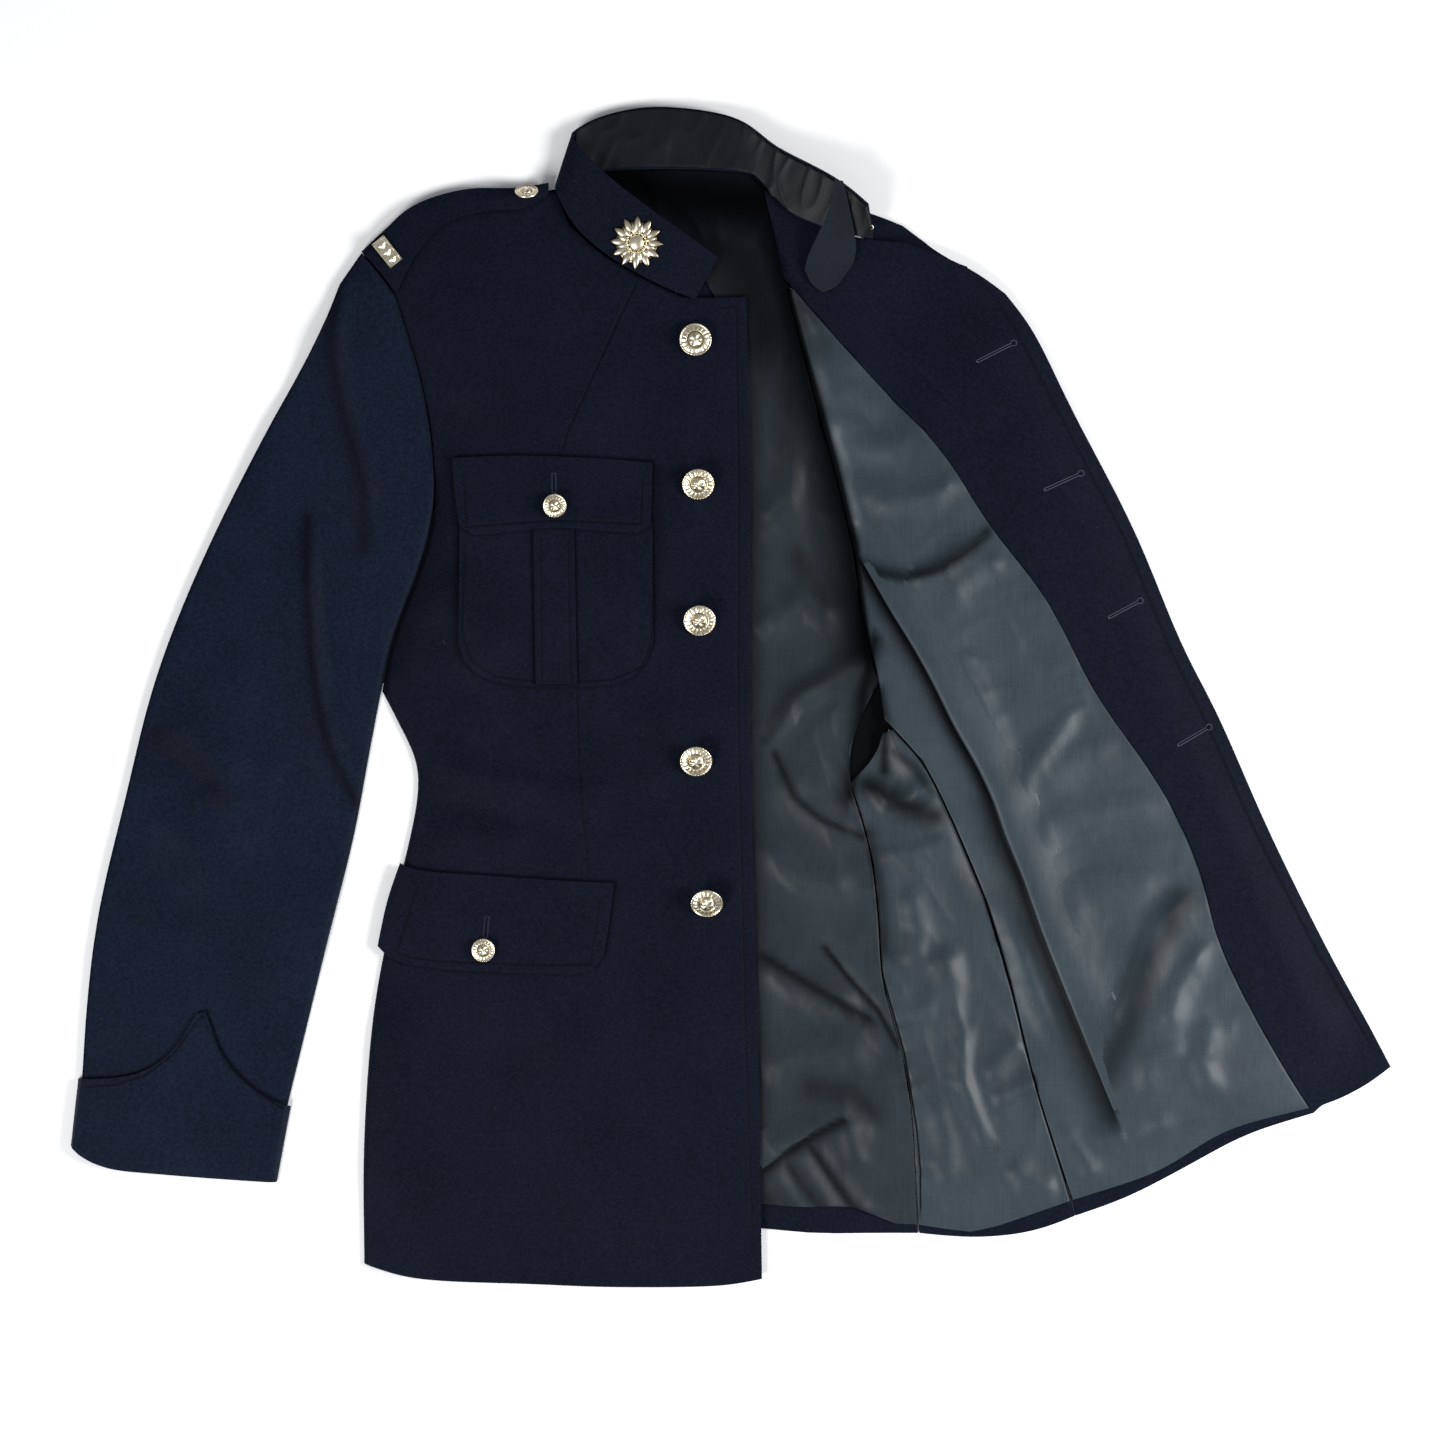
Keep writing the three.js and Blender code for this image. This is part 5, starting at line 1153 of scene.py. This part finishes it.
def buttonhole(name, base, start, end, eyelet=0.0, width=2.3):
    """start to end is the slit, in pixels. A keyhole's round eyelet is at its end."""
    a, b = (np.array(place(*p)) for p in (start, end))
    step = (b - a) / np.linalg.norm(b - a)
    side = np.array([-step[1], step[0]])
    length = np.linalg.norm(b - a)
    bm = bmesh.new()
    outline = [(a + step * s, side) for s in np.arange(0, length, WHIP_PITCH)]
    outline += [(a + step * s, -side) for s in np.arange(length, 0, -WHIP_PITCH)]
    if eyelet:
        outline = [(p, n) for p, n in outline if np.linalg.norm(p - b) > eyelet * MM]
        for k in range(EYELET_STITCHES):
            angle = 2 * math.pi * k / EYELET_STITCHES
            out = np.array([math.cos(angle), math.sin(angle)])
            if out @ step > -0.75:
                outline.append((b + out * (eyelet - 0.5) * MM, out))
    for spot, out in outline:
        inner, outer = spot + out * 0.5 * MM, spot + out * width * MM / 2
        heights = [height_on(base, *p) for p in (inner, outer)]
        if None in heights:
            continue
        bar(bm, (*inner, heights[0] + 0.12 * MM), (*outer, heights[1] + 0.02 * MM), WHIP_RADIUS)
    for spot, across in ((a, width * 0.8), (b, 0 if eyelet else width * 0.8)):
        if across:
            ends = [spot + side * across * MM / 2 * k for k in (-1, 1)]
            heights = [height_on(base, *p) or 0 for p in ends]
            bar(bm, (*ends[0], heights[0] + 0.1 * MM), (*ends[1], heights[1] + 0.1 * MM), END_RADIUS, 6)
    # The slit: a near-black strip between the thread rows, as painted shade.
    thread_faces = len(bm.faces)
    rungs = np.linspace(0, length, SLIT_RUNGS)
    levels = [height_on(base, *(a + step * r)) or 0 for r in rungs]
    section = [(SLIT_HALF, 0.0), (0.0, 0.16 * MM), (-SLIT_HALF, 0.0), (0.0, -0.3 * MM)]
    loft(bm, [
        [(*(a + step * r + side * w), z + h) for w, h in section] for r, z in zip(rungs, levels)
    ])
    bm.faces.ensure_lookup_table()
    for face in bm.faces[thread_faces:]:
        face.material_index = 1
    # The keyholes take the paler thread, a painted highlight.
    added_piece(name, bm, [HOLE_THREAD if eyelet else FLAP_HOLE_THREAD, SLIT])


# The seams' turnings: a roll of cloth in the gap under each seam, so that no light comes up through it. It is
# coloured near black, as painted shade in the gap.
SLEEVE_GAP = [
    (366, 256), (375, 268), (387, 285), (399, 307), (409, 337), (422, 376), (429, 416), (434, 453),
    (435, 490), (433.5, 512), (429.5, 538), (424, 560), (416.5, 578), (400, 621), (389, 656), (383, 683),
]
COLLAR_GAP = [(603, 172), (630, 171), (684, 170)]
COLLAR_END_GAP = [(755, 176), (762, 185), (771, 198)]
FOLD_GAP = [(784, 280), (792, 299)]
SIDE_GAP = SIDE_SEAM[:-2] + [(1065, 1182)]
TURNING_RADIUS = 1.4 * MM
TURNING_HEIGHT = 1.5 * MM
bm = bmesh.new()
for path in (SLEEVE_GAP, COLLAR_GAP, COLLAR_END_GAP, FOLD_GAP, REAR_SEAM, SIDE_GAP, VALLEY_SEAM):
    for a, b in zip(path, path[1:]):
        bar(bm, (*place(*a), TURNING_HEIGHT), (*place(*b), TURNING_HEIGHT), TURNING_RADIUS, 8)
added_piece("seam_turnings", bm, [SLIT], rounded=False)

buttonhole("chest_buttonhole", tops["chest_flap"], (554, 474), (554.5, 494), width=4.2)
buttonhole("hip_buttonhole", tops["hip_flap"], (487.5, 916), (485.5, 937), width=4.2)
FACING_HOLES = [
    ((976, 363), (1013, 344)), ((1043, 491), (1080, 474)),
    ((1107, 618), (1139, 601)), ((1176, 745), (1208, 727)),
]
for number, (start, end) in enumerate(FACING_HOLES):
    buttonhole(f"facing_buttonhole_{number + 1}", tops["facing"], start, end, eyelet=1.7)


# Gilt fittings
def lathe(bm, profile, sides, wave=None):
    """A turned body. Each row of the profile is a radius and a height; wave changes the height."""
    rings = []
    for radius, height in profile:
        ring = []
        for k in range(sides):
            angle = 2 * math.pi * k / sides
            extra = wave(radius, angle) if wave else 0
            ring.append((radius * math.cos(angle), radius * math.sin(angle), height + extra))
        rings.append(ring)
    loft(bm, rings, close=False)


def own_axes(node):
    """The middle of a CAD fitting and a turn that takes Z to its flattest direction."""
    co = coordinates(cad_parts[node].data)
    middle = (co.min(0) + co.max(0)) / 2
    _, vectors = np.linalg.eigh(np.cov((co - co.mean(0)).T))
    axis = Vector(vectors[:, 0])
    if axis.z < 0:
        axis = -axis
    return middle, axis


def place_fitting(name, bm, node, base_point, axis, spin=0.0, rounded=True):
    """Sets a fitting that was made upright on its base point, along its axis, for its CAD node."""
    bmesh.ops.recalc_face_normals(bm, faces=bm.faces)
    piece = added_piece(name, bm, [GILT], rounded)
    turn = axis.to_track_quat("Z", "Y").to_matrix().to_4x4() @ Matrix.Rotation(spin, 4, "Z")
    piece.data.transform(Matrix.Translation(base_point) @ turn)
    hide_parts(node)


# Rows of a button's face, from its rim inwards: share of the radius, and height as a share of it
BUTTON_FACE = [
    (0.95, 0.05), (1, 0.13), (0.985, 0.21), (0.94, 0.25), (0.9, 0.22), (0.875, 0.16), (0.84, 0.18),
    (0.74, 0.21), (0.64, 0.235), (0.56, 0.25), (0.53, 0.24), (0.505, 0.19), (0.48, 0.19), (0.455, 0.25),
]
BUTTON_DOME = 0.44
BUTTON_BACK = 0.36  # how thick its plate's back stands, as a share of the whole height
BUTTON_RAYS = 18
BUTTON_PETALS = 5
ROPE_TWISTS = 32
CARVED = 0.035  # the deepest carving, as a share of the radius


def bell(at, middle, width):
    return math.exp(-(((at - middle) / width) ** 2))


def quarter(steps):
    """Angles of a quarter circle, without its end."""
    return [math.pi / 2 * k / steps for k in range(steps)]


def button(node):
    """A domed button: a roped rim, a ring of short rays, a groove and a petalled dome, on its shank."""
    co = coordinates(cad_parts[node].data)
    _, axis = own_axes(node)
    along = co @ np.array(axis)
    across = co - np.outer(along, np.array(axis))
    centre = (across.max(0) + across.min(0)) / 2
    low = along.min()
    radius = np.sqrt(((across - centre) ** 2).sum(1)).max()
    back = (along.max() - low) * BUTTON_BACK
    profile = [(share * radius, rise) for share, rise in ((1e-3, 0), (0.23, 0), (0.24, back), (0.84, back))]
    profile += [(share * radius, back + rise * radius) for share, rise in BUTTON_FACE]
    profile += [
        (BUTTON_DOME * radius * math.cos(t), back + radius * (0.27 + 0.19 * math.sin(t)))
        for t in quarter(9)
    ]
    profile.append((1e-3 * radius, back + radius * 0.46))

    def carving(at, angle):
        share = at / radius
        ring = smooth((share - 0.58) / 0.05) * smooth((0.86 - share) / 0.05)
        petals = smooth((share - 0.08) / 0.15) * smooth((0.44 - share) / 0.08)
        rope = smooth((share - 0.89) / 0.04) * smooth((1.0 - share) / 0.04 + 0.4)
        made = 0.02 * ring * math.cos(BUTTON_RAYS * angle) + CARVED * petals * math.cos(BUTTON_PETALS * angle)
        return radius * (made + 0.02 * rope * math.cos(ROPE_TWISTS * angle + share * 14))

    bm = bmesh.new()
    lathe(bm, profile, 96, carving)
    # Painted shade, stored for the gilt: dark in the button's two grooves and its carved low spots.
    painted_shade = bm.verts.layers.float.new("painted_shade")
    for vert in bm.verts:
        share = math.hypot(vert.co.x, vert.co.y) / radius
        grooves = 0.9 * bell(share, 0.49, 0.035) + 0.6 * bell(share, 0.88, 0.02)
        low_spot = -carving(share * radius, math.atan2(vert.co.y, vert.co.x)) / radius / CARVED
        vert[painted_shade] = min(1, grooves + 0.6 * max(0, low_spot))
    place_fitting(node + "_gilt", bm, node, Vector(centre) + axis * low, axis)


for number in range(1, 6):
    button(f"front_button_{number}")
for node in ("chest_button", "hip_button", "strap_button"):
    button(node)


# A leaf's section: shares of its half width, and of its height over its lift
LEAF_SECTION = [(-1, 0), (-0.6, 0.55), (0, 1), (0.6, 0.55), (1, 0), (0, -0.2)]
LEAF_STATIONS = 9


def petal(bm, inner, outer, width, height, angle, lift):
    """One raised leaf of the rosette, pointed at its outer end, with a ridge along its middle."""
    c, s = math.cos(angle), math.sin(angle)
    rows = []
    for t in np.linspace(0, 1, LEAF_STATIONS):
        reach = inner + (outer - inner) * t
        half = width / 2 * math.sin(math.pi * min(1, 0.12 + 0.88 * t)) ** 0.7 * (1 - 0.15 * t)
        half = max(half, 0.02 * MM)
        crown = lift + height * math.sin(math.pi * (0.15 + 0.8 * t))
        rows.append([
            (c * reach - s * half * w, s * reach + c * half * w, lift + (crown - lift) * h)
            for w, h in LEAF_SECTION
        ])
    loft(bm, rows)


# Rounds of leaves: where they start and end as shares of the badge's radius, their width and lift in
# millimetres, and their turn in shares of one leaf
LEAF_ROUNDS = [(0.42, 1, 6.6, 0.9, 0), (0.3, 0.74, 4.6, 1.5, 0.5)]
LEAVES = 12
LEAF_HEIGHT = 1.5 * MM
BEADS = 24


def badge():
    """A generic rosette: two rounds of leaves on a disc, a beaded ring and a domed centre."""
    node = "collar_badge"
    middle, axis = own_axes(node)
    co = coordinates(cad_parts[node].data)
    along = (co - middle) @ np.array(axis)
    low = along.min()
    radius = 18.5 * MM
    bm = bmesh.new()
    disc = [(0.78, 0), (0.8, 0.5), (0.76, 1.0)]
    disc = [(1e-5, 0)] + [(radius * share, z * MM) for share, z in disc] + [(1e-5, 1.1 * MM)]
    lathe(bm, disc, 64)
    for inner, outer, width, lift, shift in LEAF_ROUNDS:
        for k in range(LEAVES):
            angle = 2 * math.pi / LEAVES * (k + shift)
            petal(bm, radius * inner, radius * outer, width * MM, LEAF_HEIGHT, angle, lift * MM)
    for k in range(BEADS):
        angle = 2 * math.pi * k / BEADS
        ball = bmesh.ops.create_icosphere(bm, subdivisions=1, radius=0.85 * MM)
        shift = Vector((radius * 0.37 * math.cos(angle), radius * 0.37 * math.sin(angle), 2.6 * MM))
        bmesh.ops.translate(bm, verts=ball["verts"], vec=shift)
    dome = [(radius * 0.3 * math.cos(t), 1.8 * MM + 2.4 * MM * math.sin(t)) for t in quarter(8)]
    dome.append((1e-5, 4.2 * MM))
    lathe(bm, [(1e-5, 1.0 * MM), (radius * 0.3, 1.0 * MM)] + dome, 48)
    # Painted shade, stored for the gilt: darker low down by the disc, between the leaves and beads.
    painted_shade = bm.verts.layers.float.new("painted_shade")
    for vert in bm.verts:
        vert[painted_shade] = 0.9 * (1 - smooth((vert.co.z - 1.0 * MM) / (1.4 * MM)))
    place_fitting("collar_rosette", bm, node, Vector(middle) + axis * low, axis)


badge()


PLAQUE_TURN = -0.9
PLAQUE_BORDER = 1.1 * MM
LOZENGE_SPACING = 6 * MM


def plaque():
    """A small bar with a raised border and three plain lozenges."""
    node = "shoulder_plaque"
    low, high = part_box(node)
    middle = (low + high) / 2
    length, width, thick = 21 * MM, 10.5 * MM, 1.2 * MM
    bm = bmesh.new()

    def box_at(x, y, sx, sy, z0, z1, taper=0.0):
        rings = []
        for z, cut in ((z0, 0), (z1 - 0.2 * MM, 0), (z1, taper)):
            rings.append([
                (x + (sx / 2 - cut) * i, y + (sy / 2 - cut) * j, z)
                for i, j in SQUARE
            ])
        loft(bm, rings)

    box_at(0, 0, length, width, 0, thick * 0.7, 0.15 * MM)
    for sign in (-1, 1):
        box_at(0, sign * (width / 2 - 0.6 * MM), length, PLAQUE_BORDER, 0, thick * 1.2, 0.2 * MM)
        box_at(sign * (length / 2 - 0.6 * MM), 0, PLAQUE_BORDER, width, 0, thick * 1.2, 0.2 * MM)
    for k in (-1, 0, 1):
        x = k * LOZENGE_SPACING
        rings = []
        for z, size in ((thick * 0.5, 3.2 * MM), (thick * 0.8, 3.2 * MM), (thick * 1.35, 1.2 * MM)):
            rings.append([(x + size, 0, z), (x, size, z), (x - size, 0, z), (x, -size, z)])
        loft(bm, rings)
    base_point = Vector((middle.x, middle.y, low.z))
    place_fitting("shoulder_bar", bm, node, base_point, -DOWN, PLAQUE_TURN, rounded=False)


plaque()


# Hooks of bent wire at the collar's left end
def wire(name, points):
    curve = bpy.data.curves.new(name, "CURVE")
    curve.dimensions = "3D"
    curve.bevel_depth = WIRE_RADIUS
    curve.bevel_resolution = 2
    curve.use_fill_caps = True
    spline = curve.splines.new("BEZIER")
    spline.bezier_points.add(len(points) - 1)
    for point, co in zip(spline.bezier_points, points):
        point.co = co
        point.handle_left_type = point.handle_right_type = "AUTO"
    piece = new_object(name, curve)
    curve.materials.append(GILT)
    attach(piece, "root")


HOOK_PLACES = [(857, 210), (868, 231)]
HOOK_LOOP = [  # in millimetres from its place on the collar
    (-4, -1.5, 0.2), (0, -1.6, 0.5), (2.6, -0.6, 1.1), (2.6, 0.8, 1.4), (0.4, 1.3, 1.2), (-1.6, 1.0, 0.8),
]
WIRE_RADIUS = 0.45 * MM
COLLAR_TOP = 28 * MM  # where the collar isn't met
for number, spot in enumerate(HOOK_PLACES):
    x, y = place(*spot)
    z = height_on(tops["collar"], x - 3 * MM, y) or COLLAR_TOP
    wire(f"collar_hook_{number + 1}", [(x + a * MM, y + b * MM, z + c * MM) for a, b, c in HOOK_LOOP])

# Floor, light and camera
FLOOR_HALF = 6.0
mesh = bpy.data.meshes.new("floor")
mesh.from_pydata(
    [(i * FLOOR_HALF, j * FLOOR_HALF, 0) for i, j in SQUARE],
    [],
    [(0, 1, 2, 3)],
)
floor = new_object("floor", mesh)
floor.location.z = -0.2 * MM
paper = Finish("floor_paper")
paper.set(paper.shader, "Base Color", srgb(250, 250, 250))
paper.set(paper.shader, "Roughness", 0.9)
mesh.materials.append(paper.material)

world = bpy.data.worlds.new("studio")
bpy.context.scene.world = world
world.use_nodes = True
world.node_tree.nodes["Background"].inputs["Color"].default_value = srgb(240, 244, 250)
world.node_tree.nodes["Background"].inputs["Strength"].default_value = 0.34


def soft_light(name, location, size, power):
    """A round lamp that shines on the middle of the jacket."""
    light = bpy.data.lights.new(name, "AREA")
    light.shape = "DISK"
    light.size = size
    light.energy = power
    lamp = new_object(name, light)
    lamp.location = location
    lamp.rotation_euler = (-Vector(location)).to_track_quat("-Z", "Y").to_euler()


soft_light("key", (1.6, -0.2, 1.25), 1.0, 44)
soft_light("fill", (-1.5, -1.5, 1.9), 1.2, 56)

bpy.context.scene.view_settings.view_transform = "Standard"

CAMERA_HEIGHT = 3.0
FRAME_WIDTH = PHOTO_PX * PIXEL
SENSOR = 36.0
camera_data = bpy.data.cameras.new("camera")
camera_data.sensor_width = SENSOR
camera_data.lens = SENSOR * CAMERA_HEIGHT / FRAME_WIDTH
camera = new_object("camera", camera_data)
aim = place(PHOTO_PX / 2, PHOTO_PX / 2)
camera.location = (aim[0], aim[1], CAMERA_HEIGHT)
bpy.context.scene.camera = camera
